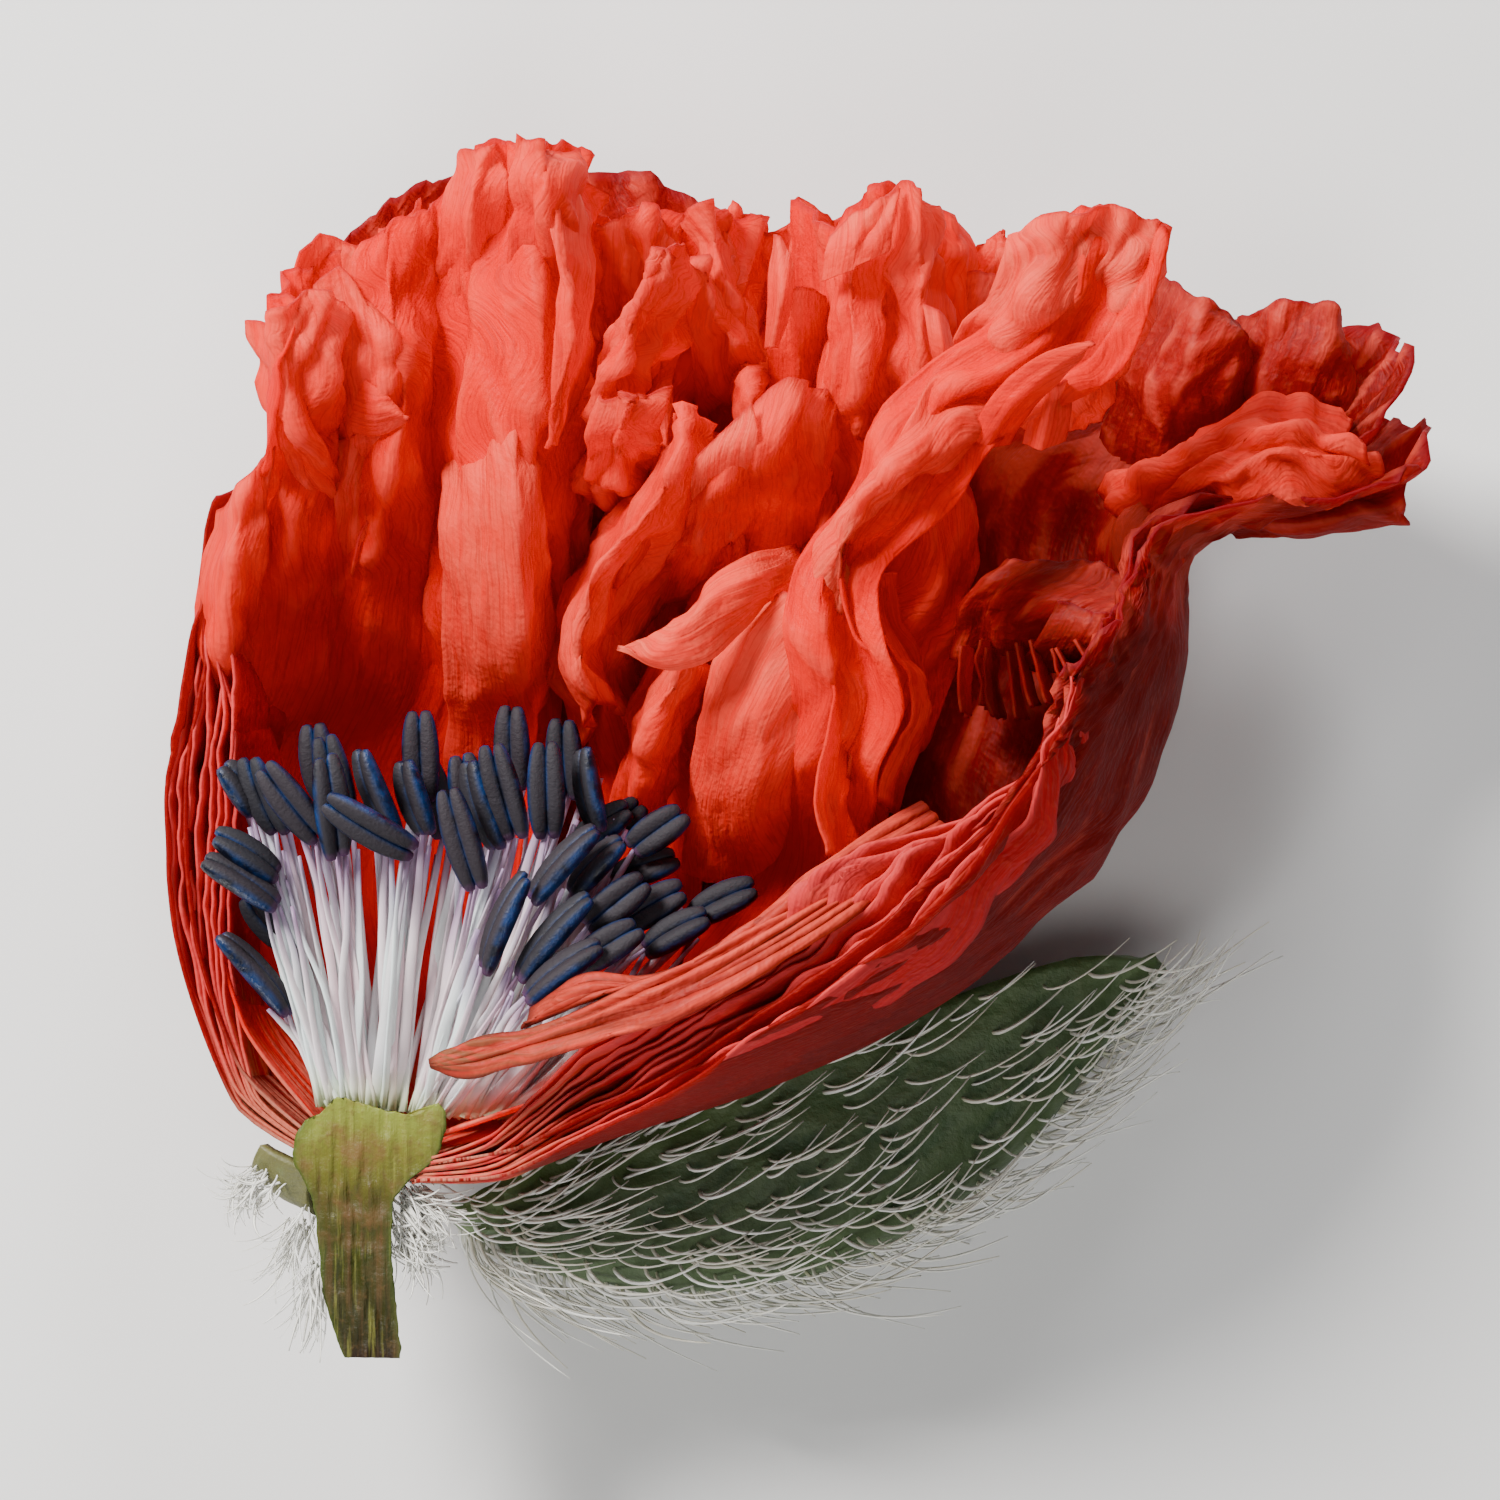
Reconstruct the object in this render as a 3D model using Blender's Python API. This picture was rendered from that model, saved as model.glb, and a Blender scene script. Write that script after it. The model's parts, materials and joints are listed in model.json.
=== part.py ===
"""Half of an oriental poppy flower, cut lengthways and lying on its back.

The cut face looks up and leans a little to the left. Sizes are in millimetres and angles in degrees. A place in
the bud is (across, along, height): along runs up the bud's axis, and height is above that axis. A place on
the flower is (right, up, height) from the middle of the receptacle. world() turns it into metres, with the origin on the
surface under the flat spot that the bud rests on.
"""

import math

import bpy
import numpy as np

MM = 0.001

# How the half flower lies
BUD_LEAN = 24.0  # the bud's axis turns this far to the right of the stem
AXIS_HEIGHT = 15.2  # the bud's axis above the surface
REST_SPOT = (0.5, 27.0)  # across and along, where the back of the bud lies flat
LEFT_RIM = 10.0  # angles round the bud's axis where the blade went through, from the left, through the back
RIGHT_RIM = 218.0

# The bud's outer wall, base to tip: along, left radius, right radius, depth at the back
BUD_PROFILE = (
    (-3.6, 3.4, 3.6, 3.9),
    (-1.0, 8.0, 6.6, 6.2),
    (4.5, 13.4, 11.4, 10.4),
    (10.5, 16.8, 17.0, 13.6),
    (17.0, 18.9, 22.4, 15.4),
    (24.0, 20.4, 26.2, 16.2),
    (31.0, 20.9, 28.2, 16.4),
    (38.0, 24.0, 27.2, 16.2),
    (44.0, 25.2, 25.6, 16.0),
    (50.0, 25.2, 32.8, 15.8),
    (56.0, 24.6, 36.0, 15.4),
)

# Petals lie in four layers, from the outside in
PETAL_THICK = 0.62
# Where along a petal starts: in the outermost layer at the left rim, more for each layer, more at the right rim
PETAL_BASE = (-3.4, 0.8, 1.6)
LAYER_STEP = 1.0  # from one layer to the next where the petals are pressed together
LAYER_BANDS = ((0.0, 0.06), (0.14, 0.21), (0.28, 0.80), (0.87, 1.05))  # parts of the bud's depth, for the folds
FOLDS_START, FOLDS_FULL = 15.0, 32.0  # along
CUT_FACE_INSET = 3.6  # the open side's edges stay this far inside the rims
CUT_FACE_TUCK = 5.0  # how far along the open side starts, at the receptacle
CUT_FACE_BULGE = 4.0
BASE_FLARE = 1.5  # how steeply the wall opens at the receptacle
OUTER_ROWS, INNER_ROWS = 13, 16
ACROSS_FOLD = 2  # steps between two fold lines
EDGE_NOTCH = 0.8  # how far the edge dips between two folds
EDGE_SHARE = 5  # the higher, the nearer to the edge the dips start

# Fold lines of the two outer layers, left to right: turn round the bud at the base, turn at the edge, stand
# (0 in a valley, 1 on a crest), and how far along the fold ends
OUTER_FOLDS = {
    "petal_outer_left": (0, (
        (0.00, 0.00, 0.3, 26), (0.07, 0.05, 0.9, 29), (0.14, 0.11, 0.1, 34), (0.22, 0.18, 1.0, 40),
        (0.30, 0.25, 0.0, 43), (0.38, 0.32, 0.8, 47), (0.46, 0.40, 0.1, 49), (0.50, 0.46, 0.7, 48))),
    "petal_outer_right": (0, (
        (0.53, 0.49, 0.6, 49), (0.60, 0.55, 0.1, 50), (0.67, 0.62, 1.0, 52), (0.74, 0.70, 0.0, 54),
        (0.81, 0.77, 1.0, 54), (0.88, 0.84, 0.1, 52), (0.94, 0.92, 0.9, 44), (1.00, 1.00, 0.3, 36))),
    "petal_middle_left": (1, (
        (0.00, 0.00, 0.2, 30), (0.05, 0.04, 1.0, 34), (0.11, 0.09, 0.0, 40), (0.18, 0.14, 1.0, 45),
        (0.25, 0.21, 0.1, 48), (0.33, 0.28, 0.9, 50), (0.40, 0.36, 0.1, 50))),
    "petal_middle_right": (1, (
        (0.43, 0.39, 0.2, 50), (0.51, 0.46, 1.0, 52), (0.59, 0.54, 0.0, 53), (0.67, 0.62, 1.0, 56),
        (0.75, 0.70, 0.1, 58), (0.83, 0.79, 1.0, 57), (0.90, 0.87, 0.0, 48), (0.95, 0.94, 1.0, 40),
        (1.00, 1.00, 0.3, 35))),
}

# Fold lines of the inner layers, left to right: turn at the base, then places (right, up, stand) up to the edge
INNER_FOLDS = {
    "petal_inner_left": (2, (
        (0.00, ((-7.4, 22.0, .2), (-6.5, 29.0, .1), (-5.9, 33.0, .1), (-6.1, 37.0, .1), (-6.2, 41.4, .2))),
        (0.10, ((-5.0, 24.0, .6), (-4.8, 30.0, .6), (-4.2, 34.0, .8), (-4.0, 37.5, 1), (-4.0, 43.9, .9))),
        (0.17, ((-3.0, 24.0, .1), (-2.8, 30.0, .3), (-2.2, 34.0, .4), (-1.9, 37.5, .4), (-1.8, 45.0, .5))),
        (0.23, ((-1.2, 24.0, .5), (-0.8, 29.0, .6), (0.4, 33.5, .9), (1.1, 37.5, 1), (0.2, 45.9, .9))),
        (0.30, ((1.5, 23.0, 0), (2.2, 29.0, 0), (2.5, 34.5, 0), (2.4, 40.5, 0), (2.4, 47.4, .3))),
        (0.36, ((3.2, 23.0, .4), (3.1, 29.0, .8), (3.8, 35.0, .9), (5.2, 40.5, .9), (5.1, 49.6, .9))),
        (0.44, ((6.0, 23.0, .5), (6.2, 29.0, .9), (7.5, 34.5, .95), (8.2, 40.5, 1), (7.0, 50.2, 1))),
        (0.49, ((8.0, 23.0, .1), (8.6, 29.0, .4), (9.8, 34.5, .5), (10.6, 41.0, .5), (10.2, 49.8, .7))),
        (0.52, ((9.0, 23.0, 0), (9.9, 28.5, 0), (10.6, 34.5, 0), (11.2, 41.0, 0), (10.8, 47.0, .2))),
    )),
    "petal_inner_middle": (2, (
        (0.55, ((10.2, 22.0, .1), (11.1, 27.0, .1), (11.8, 34.5, .1), (12.3, 41.0, .1), (11.9, 47.2, .3))),
        (0.58, ((11.2, 21.0, .5), (11.8, 27.0, .8), (14.4, 33.0, .9), (13.8, 40.0, .7), (13.0, 47.4, .6))),
        (0.62, ((13.0, 21.0, .1), (13.5, 26.0, .2), (16.0, 32.0, .3), (15.8, 40.0, .2), (15.0, 46.3, .4))),
        (0.66, ((14.2, 21.5, .5), (15.5, 25.5, .6), (18.6, 35.0, .9), (17.8, 41.0, .6), (17.2, 47.0, .7))),
        (0.70, ((16.2, 21.0, .1), (17.6, 25.0, .2), (20.0, 33.0, .3), (19.2, 41.0, .1), (18.7, 46.4, .3))),
    )),
    "petal_inner_right": (2, (
        (0.73, ((17.8, 20.0, .3), (19.0, 24.5, .3), (21.2, 33.0, .4), (20.8, 40.5, .3), (20.2, 47.0, .5))),
        (0.77, ((19.5, 19.5, .7), (20.5, 24.5, .8), (22.6, 33.0, .8), (22.6, 39.5, .9), (22.9, 45.8, .9))),
        (0.82, ((21.0, 19.0, .5), (22.5, 24.5, .4), (25.2, 32.0, .7), (25.0, 39.5, .8), (25.5, 47.4, 1))),
        (0.86, ((22.8, 17.5, .6), (24.8, 22.5, .3), (27.6, 30.5, .4), (27.9, 38.0, .6), (28.0, 47.0, .8))),
        (0.91, ((25.5, 15.5, .3), (27.8, 20.5, 0), (30.0, 28.0, 0), (30.2, 36.0, 0), (29.2, 43.6, .2))),
    )),
    "petal_front_right": (3, (
        (0.80, ((15.5, 9.5, .3), (19.2, 15.5, .4), (20.6, 22.0, .5), (20.6, 28.0, .6), (24.0, 34.5, .6),
                (27.5, 38.5, .6), (33.0, 45.6, .4))),
        (0.87, ((17.2, 9.1, .5), (21.0, 15.2, .9), (22.4, 21.8, .9), (22.0, 27.8, .9), (25.8, 33.3, 1),
                (30.2, 37.8, 1), (35.2, 46.0, .9))),
        (0.93, ((18.8, 8.4, .3), (22.8, 14.8, .4), (24.2, 21.5, .4), (23.2, 27.8, .5), (27.5, 32.8, .7),
                (32.7, 37.3, .6), (37.2, 45.4, .5))),
        (0.99, ((20.4, 7.8, .5), (24.5, 14.5, .8), (26.0, 21.2, .8), (24.6, 27.8, .8), (29.2, 32.4, .9),
                (35.2, 37.0, .8), (39.0, 44.6, .7))),
    )),
}
SECOND_GUIDE = 9.0  # along, where an inner fold starts to part from its neighbours

# A petal's cut end, lying loose over the right rim: its two long edges
STRIP_LOWER = (
    (3.0, 3.3, 4.4), (8.0, 4.6, 6.2), (14.0, 6.2, 8.1), (19.6, 8.7, 9.2), (25.3, 12.1, 9.6), (28.0, 16.3, 9.9))
STRIP_UPPER = (
    (2.7, 4.4, 4.4), (8.0, 5.9, 6.0), (13.0, 7.9, 7.6), (18.0, 10.6, 8.6), (23.5, 13.5, 9.1), (26.7, 17.1, 9.6))
STRIP_BULGE = 0.15

# Receptacle and stem, cut in half: up, left edge, right edge, depth behind the cut face
STEM_SECTIONS = (
    (-10.9, -1.8, 1.0, 1.2),
    (-10.2, -2.1, 1.0, 1.5),
    (-8.0, -2.8, 0.8, 1.8),
    (-5.5, -3.1, 0.6, 1.9),
    (-3.2, -3.4, 0.7, 2.0),
    (-2.0, -3.9, 1.5, 2.3),
    (-1.0, -4.4, 2.9, 2.6),
    (0.0, -4.3, 3.3, 2.4),
    (0.9, -3.8, 3.3, 1.7),
)
# The receptacle's hollow top at the cut face: right, up
RECEPTACLE_TOP = (
    (-3.8, 1.0), (-3.0, 1.3), (-2.2, 2.2), (-0.8, 1.8), (0.6, 1.4), (1.9, 1.3), (3.0, 1.9), (3.4, 1.3))
STEM_TILT = 0.2  # how fast the cut face rises to the right

# Stamens: anther's tip (right, up), anther's foot (right, up), height of its middle
STAMENS = {
    "stamens_left": (
        (-7.8, 18.9, -6.2, 16.4, -0.6), (-6.7, 19.1, -5.1, 15.2, -0.2), (-5.8, 18.6, -2.9, 14.9, 0.8),
        (-2.9, 20.3, -1.8, 15.5, -1.4), (-2.6, 19.2, -2.0, 14.0, 1.4), (-2.7, 16.9, 1.8, 14.3, 2.4),
        (-1.2, 19.5, 0.6, 15.2, -0.4), (-3.6, 20.9, -3.0, 17.0, -3.2), (1.8, 21.5, 2.0, 16.8, -2.8),
        (2.0, 19.2, 3.2, 15.0, -3.6), (1.0, 18.9, 2.2, 15.1, -1.4), (-8.2, 15.4, -5.0, 13.3, 0.2),
        (-8.7, 14.2, -5.0, 11.8, 0.6), (-6.8, 12.0, -4.5, 9.4, -1.8), (-7.9, 10.4, -4.4, 6.3, -1.0),
    ),
    "stamens_right": (
        (3.4, 17.5, 4.9, 12.4, 1.6), (4.3, 18.8, 5.8, 14.3, 0.0), (4.0, 19.3, 4.6, 15.5, -2.2),
        (5.5, 19.8, 6.8, 15.0, 0.6), (6.4, 21.8, 6.6, 17.5, -2.6), (8.3, 20.0, 8.4, 15.1, 1.6),
        (9.0, 21.1, 9.3, 17.0, -2.4), (10.0, 19.6, 10.8, 15.3, 0.2), (12.4, 16.7, 9.5, 14.5, -1.2),
        (13.0, 16.9, 11.0, 14.5, -2.6), (15.2, 16.4, 12.5, 14.5, 0.4), (10.8, 15.8, 7.5, 12.1, 1.8),
        (12.0, 15.1, 9.4, 12.3, 0.4), (14.8, 14.2, 11.5, 13.0, -1.0), (7.2, 13.4, 5.1, 8.5, 3.0),
        (10.4, 12.4, 6.8, 8.2, 2.8), (13.2, 13.0, 10.2, 10.6, 1.8), (15.1, 12.6, 12.0, 10.8, 0.4),
        (11.0, 10.0, 7.2, 7.2, 4.0), (13.0, 10.8, 9.8, 8.8, 2.9), (16.4, 11.4, 13.2, 9.6, 1.6),
        (18.8, 12.8, 15.5, 11.2, 0.6),
    ),
}
STAMEN_ROOTS = {  # two ends of the line that a bunch grows from, and its radius
    "stamens_left": ((-2.3, 1.9, -2.7), (0.6, 1.8, -3.1), 0.5),
    "stamens_right": ((1.8, 1.8, -3.1), (4.4, 2.6, -2.0), 0.5),
}
FILAMENT_WIDTH = 0.72
ANTHER_WIDTH = 1.8
ANTHER_THICK = 1.1
ANTHER_TILT = 0.3  # the tip is this much higher than the middle, the foot as much lower

# The green sepal: upper edge, crown of its bulge and lower edge, from its base to its tip
SEPAL_UPPER = (0.70, 1.2)  # turn round the bud, and how far it stands off the petals
SEPAL_TIP = (-0.4, 0.5, 1.4)  # from the crown's end to the upper edge's
SEPAL_ALONG = (-0.8, 24.5)  # its base and tip
SEPAL_CROWN = (
    (3.0, -3.4, -4.6), (8.0, -6.2, -5.4), (15.0, -7.4, -6.4), (23.5, -6.0, -7.4), (32.0, -0.8, -8.6),
    (39.6, 8.4, -9.4))
SEPAL_LOWER = (
    (2.4, -3.2, -6.2), (7.0, -4.2, -11.0), (14.0, -4.4, -14.4), (22.0, -2.2, -15.0), (31.0, 2.2, -13.8),
    (39.2, 8.0, -10.8))
SEPAL_THICK = 0.7
SEPAL_ROWS, SEPAL_COLUMNS = 16, 9

# What is left of the other sepal, at the left of the receptacle: its two long edges
SCAR_UPPER = ((-7.2, -1.3, -1.6), (-5.7, -2.4, -1.6), (-3.65, -3.1, -1.6))
SCAR_LOWER = ((-6.4, -1.9, -4.6), (-5.0, -3.2, -4.2), (-2.7, -4.0, -2.9))
SCAR_BULGE = (-0.5, -0.5, 0.0)

# Colour, roughness and metallic value
PETAL_RED = ((0.85, 0.06, 0.02), 0.55, 0.0)
PETAL_DARK = ((0.60, 0.02, 0.02), 0.60, 0.0)
ANTHER_BLUE = ((0.06, 0.06, 0.10), 0.50, 0.0)
STEM_GREEN = ((0.32, 0.36, 0.08), 0.60, 0.0)
SEPAL_GREEN = ((0.06, 0.12, 0.03), 0.70, 0.0)


def smooth(x, low, high):
    """0 below low, 1 above high, and an S curve between."""
    t = np.clip((np.asarray(x, float) - low) / (high - low), 0.0, 1.0)
    return t * t * (3.0 - 2.0 * t)


def spline(points, where):
    """A Catmull-Rom curve through evenly spaced points, read at where, 0 to 1."""
    p = np.asarray(points, float)
    p = np.concatenate([2 * p[:1] - p[1:2], p, 2 * p[-1:] - p[-2:-1]])
    x = np.clip(np.asarray(where, float), 0.0, 1.0) * (len(p) - 3)
    i = np.minimum(x.astype(int), len(p) - 4)
    t = (x - i).reshape(x.shape + (1,) * (p.ndim - 1))
    a, b, c, d = p[i], p[i + 1], p[i + 2], p[i + 3]
    return 0.5 * (2 * b + (c - a) * t + (2 * a - 5 * b + 4 * c - d) * t**2 + (3 * b - a - 3 * c + d) * t**3)


PROFILE_STEPS = np.linspace(0.0, 1.0, 200)
PROFILE_ALONG = spline(BUD_PROFILE, PROFILE_STEPS)[:, 0]


def bud_wall(along, turn):
    """A wall point, the wall's inward normal there, and the way from it to the open side."""
    row = spline(BUD_PROFILE, np.interp(along, PROFILE_ALONG, PROFILE_STEPS))
    left, right, depth = row[..., 1], row[..., 2], row[..., 3]
    first, last = math.radians(LEFT_RIM), math.radians(RIGHT_RIM)
    angle = first + (last - first) * turn
    radius = np.where(np.cos(angle) > 0, left, right)
    wall = np.stack([-np.cos(angle) * radius, along, -np.sin(angle) * depth], -1)
    flare = BASE_FLARE * (1.0 - smooth(along, -6.0, 22.0))
    inward = np.stack([np.cos(angle) / radius, np.zeros_like(angle), np.sin(angle) / depth], -1)
    inward /= np.linalg.norm(inward, axis=-1, keepdims=True)
    inward[..., 1] = flare
    inward /= np.linalg.norm(inward, axis=-1, keepdims=True)
    inset = np.minimum(CUT_FACE_INSET, 0.3 * left)
    start = np.stack([-math.cos(first) * left, along, -math.sin(first) * depth], -1)
    end = np.stack([-math.cos(last) * right, along, -math.sin(last) * depth], -1)
    inset = (inset / np.linalg.norm(end - start, axis=-1))[..., None]
    face = start + (end - start) * (inset + (1 - 2 * inset) * turn[..., None])
    face[..., 1] += CUT_FACE_TUCK * (1.0 - smooth(along, -4.0, 16.0))
    face[..., 2] += CUT_FACE_BULGE * np.sin(np.pi * np.clip(turn, 0, 1)) * smooth(along, 8.0, 30.0)
    return wall, inward, face - wall


def bud_place(along, turn, layer, stand):
    """(across, along, height) in a layer; stand runs from 0 in the layer's valleys to 1 on its crests."""
    along, turn, stand = np.broadcast_arrays(along, turn, stand)
    wall, inward, to_face = bud_wall(along, turn)
    reach = np.linalg.norm(to_face, axis=-1)
    opened = smooth(along, FOLDS_START, FOLDS_FULL)
    low, high = LAYER_BANDS[layer]
    pressed = layer * LAYER_STEP / reach
    folded = np.maximum(low + (high - low) * stand, pressed)
    share = (pressed + (folded - pressed) * opened)[..., None]
    return wall + share * (1 - share) * reach[..., None] * inward + share**2 * to_face


def leaned(places):
    """Bud places as (right, up, height) from the receptacle."""
    lean = math.radians(BUD_LEAN)
    right = places[..., 0] * math.cos(lean) + places[..., 1] * math.sin(lean)
    up = -places[..., 0] * math.sin(lean) + places[..., 1] * math.cos(lean)
    return np.stack([right, up, places[..., 2]], -1)


def world(places):
    """(right, up, height) as metres in the part's own frame."""
    spot = leaned(np.array([REST_SPOT[0], REST_SPOT[1], -AXIS_HEIGHT]))
    return (np.asarray(places, float) - spot) * MM


def find_turn(right, up, layer, stand):
    """(along, turn) of the place in a layer that is seen from above at (right, up)."""
    lean = math.radians(BUD_LEAN)
    along = right * math.sin(lean) + up * math.cos(lean)
    turn = np.clip((right * math.cos(lean) - up * math.sin(lean) + 22.0) / 46.0, 0.02, 0.98)
    step = 1e-3
    for _ in range(30):
        here = leaned(bud_place(along, turn, layer, stand))
        by_along = (leaned(bud_place(along + step, turn, layer, stand)) - here) / step
        by_turn = (leaned(bud_place(along, turn + step, layer, stand)) - here) / step
        miss_right, miss_up = here[..., 0] - right, here[..., 1] - up
        det = by_along[..., 0] * by_turn[..., 1] - by_turn[..., 0] * by_along[..., 1]
        det = np.where(np.abs(det) < 1.0, -1.0, det)
        d_along = (by_turn[..., 1] * miss_right - by_turn[..., 0] * miss_up) / det
        d_turn = (by_along[..., 0] * miss_up - by_along[..., 1] * miss_right) / det
        along = along - np.clip(d_along, -3.0, 3.0)
        turn = np.clip(turn - np.clip(d_turn, -0.08, 0.08), -0.1, 1.0)
    return along, turn


def between_folds(lines, across):
    """Rows of fold lines (fold, row, value) with steps put in between; the last value, stand, eases."""
    lines = np.asarray(lines, float)
    u = np.linspace(0, len(lines) - 1, (len(lines) - 1) * across + 1)
    i = np.minimum(u.astype(int), len(lines) - 2)
    t = (u - i)[:, None, None]
    ease = t * t * (3 - 2 * t)
    mixed = lines[i] * (1 - t) + lines[i + 1] * t
    mixed[..., -1:] = (lines[i] * (1 - ease) + lines[i + 1] * ease)[..., -1:]
    edge = np.linspace(0, 1, lines.shape[1])[None, :] ** EDGE_SHARE
    mixed[..., 0] -= EDGE_NOTCH * edge * np.sin(np.pi * t[:, :, 0]) ** 2
    return mixed.transpose(1, 0, 2)


def petal_base(layer, turn):
    """Where along the bud a petal starts."""
    first, by_layer, by_turn = PETAL_BASE
    return first + by_layer * layer + by_turn * turn


def outer_sheet(folds, layer):
    """The middle surface of an outer petal, as rows of bud places."""
    v = np.linspace(0, 1, OUTER_ROWS)
    lines = []
    for base_turn, edge_turn, stand, end in folds:
        base = petal_base(layer, base_turn)
        along = base + (end - base) * v
        turn = base_turn + (edge_turn - base_turn) * smooth(along, 10.0, 40.0)
        lines.append(np.stack([along, turn, np.full_like(v, stand)], -1))
    grid = between_folds(lines, ACROSS_FOLD)
    return bud_place(grid[..., 0], grid[..., 1], layer, grid[..., 2])


def inner_sheet(folds, layer):
    """The middle surface of an inner petal, as rows of bud places."""
    v = np.linspace(0, 1, INNER_ROWS)
    lines = []
    for base_turn, places in folds:
        right, up, stand = np.array(places, float).T
        along, turn = find_turn(right, up, layer, stand)
        root = (petal_base(layer, base_turn), base_turn, stand[0])
        second = (min(SECOND_GUIDE, 0.55 * along[0]), 0.5 * (base_turn + turn[0]), stand[0])
        line = spline([root, second, *zip(along, turn, stand)], np.linspace(0, 1, 200))
        travel = np.cumsum(np.hypot(np.diff(line[:, 0]), 30.0 * np.diff(line[:, 1])))
        travel = np.concatenate([[0.0], travel / travel[-1]])
        lines.append(np.stack([np.interp(v, travel, line[:, k]) for k in range(3)], -1))
    grid = between_folds(lines, ACROSS_FOLD)
    return bud_place(grid[..., 0], grid[..., 1], layer, np.clip(grid[..., 2], 0, 1))


def grid_faces(rows, columns, closed=False):
    """Triangles between rows of points."""
    faces = []
    for r in range(rows - 1):
        for c in range(columns if closed else columns - 1):
            a, b = r * columns + c, r * columns + (c + 1) % columns
            faces += [(a, b, b + columns), (a, b + columns, a + columns)]
    return faces


def material(name, look):
    colour, roughness, metallic = look
    mat = bpy.data.materials.new(name)
    mat.use_nodes = True
    shader = mat.node_tree.nodes["Principled BSDF"]
    shader.inputs["Base Color"].default_value = (*colour, 1.0)
    shader.inputs["Roughness"].default_value = roughness
    shader.inputs["Metallic"].default_value = metallic
    return mat


def new_object(name, places, faces, look):
    mesh = bpy.data.meshes.new(name)
    mesh.from_pydata([tuple(p) for p in world(places).reshape(-1, 3)], [], faces)
    mesh.materials.append(material(name, look))
    obj = bpy.data.objects.new(name, mesh)
    bpy.context.scene.collection.objects.link(obj)
    return obj


def thicken(obj, thickness):
    solid = obj.modifiers.new("thickness", "SOLIDIFY")
    solid.thickness = thickness * MM
    solid.offset = 0.0


def build_petal(name, layer, sheet, look):
    """A petal, pressed flat where it or the layers under it lie on the surface."""
    places = leaned(sheet)
    lowest = PETAL_THICK / 2 + layer * LAYER_STEP - AXIS_HEIGHT
    places[..., 2] = np.maximum(places[..., 2], lowest)
    obj = new_object(name, places, grid_faces(*places.shape[:2]), look)
    thicken(obj, PETAL_THICK)


def build_strip():
    crown = (np.array(STRIP_LOWER) + STRIP_UPPER) / 2 + (0, 0, STRIP_BULGE)
    places = arched_sheet(STRIP_LOWER, crown, STRIP_UPPER, 14, 4)
    thicken(new_object("petal_cut_strip", places, grid_faces(14, 4), PETAL_RED), PETAL_THICK)


def build_stem():
    """The receptacle and the stem under it, as one piece with a flat cut face."""
    top_x, top_y = np.array(RECEPTACLE_TOP).T
    rings = []
    for up, left, right, depth in STEM_SECTIONS:
        middle, half = (left + right) / 2, (right - left) / 2
        back = np.radians(np.linspace(360, 180, 9))
        x = np.concatenate([middle + half * np.cos(back), np.linspace(left, right, 8)[1:-1]])
        z = np.concatenate([depth * np.sin(back), np.zeros(6)])
        y = np.full_like(x, up)
        if up == STEM_SECTIONS[-1][0]:
            y = y + (np.interp(x, top_x, top_y) - up) * (1 + 0.25 * z)
        rings.append(np.stack([x, y, z + STEM_TILT * x], -1))
    rings = np.array(rings)
    count = rings.shape[1]
    foot = rings[0].mean(axis=0)
    hollow = rings[-1].mean(axis=0) - (0, 0.5, 0)
    places = np.concatenate([rings.reshape(-1, 3), [foot, hollow]])
    faces = grid_faces(len(rings), count, closed=True)
    last = (len(rings) - 1) * count
    for c in range(count):
        d = (c + 1) % count
        faces.append((d, c, len(places) - 2))
        faces.append((last + c, last + d, len(places) - 1))
    return new_object("stem_receptacle", places, faces, STEM_GREEN)


def tube(name, path, wide, thick, sides, look):
    """A closed tube of flattened section along a path; wide and thick are one value for each point."""
    path = np.asarray(path, float)
    ahead = np.gradient(path, axis=0)
    ahead /= np.linalg.norm(ahead, axis=1, keepdims=True)
    side = np.cross(ahead, (0.0, 0.0, 1.0))
    side /= np.linalg.norm(side, axis=1, keepdims=True)
    rise = np.cross(side, ahead)
    angle = np.pi / sides - np.linspace(0, 2 * np.pi, sides, endpoint=False)
    wide, thick = np.asarray(wide)[:, None, None], np.asarray(thick)[:, None, None]
    rings = (path[:, None] + side[:, None] * np.cos(angle)[None, :, None] * wide
             + rise[:, None] * np.sin(angle)[None, :, None] * thick)
    places = np.concatenate([rings.reshape(-1, 3), path[:1], path[-1:]])
    faces = grid_faces(len(path), sides, closed=True)
    last = (len(path) - 1) * sides
    for c in range(sides):
        d = (c + 1) % sides
        faces.append((d, c, len(places) - 2))
        faces.append((last + c, last + d, len(places) - 1))
    return new_object(name, places, faces, look)


def build_stamen(name, row, root):
    """A filament that arches from root into its anther's foot, and the anther from its foot to its tip."""
    tip_right, tip_up, foot_right, foot_up, height = row
    tip = np.array([tip_right, tip_up, height + ANTHER_TILT])
    foot = np.array([foot_right, foot_up, height - ANTHER_TILT])
    axis = tip - foot
    middle = (root + foot) / 2 + (0, 0, 0.18 * (height - root[2]))
    filament = spline([root, middle, foot + 0.25 * axis], np.linspace(0, 1, 5))
    radius = np.full(5, FILAMENT_WIDTH / 2)
    stalk = tube(name + "_stalk", filament, radius, radius, 4, ANTHER_BLUE)
    along = np.array([0.0, 0.08, 0.5, 0.92, 1.0])
    swell = np.array([0.45, 0.85, 1.0, 0.9, 0.5]) / 2
    anther = tube(name + "_anther", foot + along[:, None] * axis, swell * ANTHER_WIDTH, swell * ANTHER_THICK,
                  6, ANTHER_BLUE)
    return stalk, anther


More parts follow.
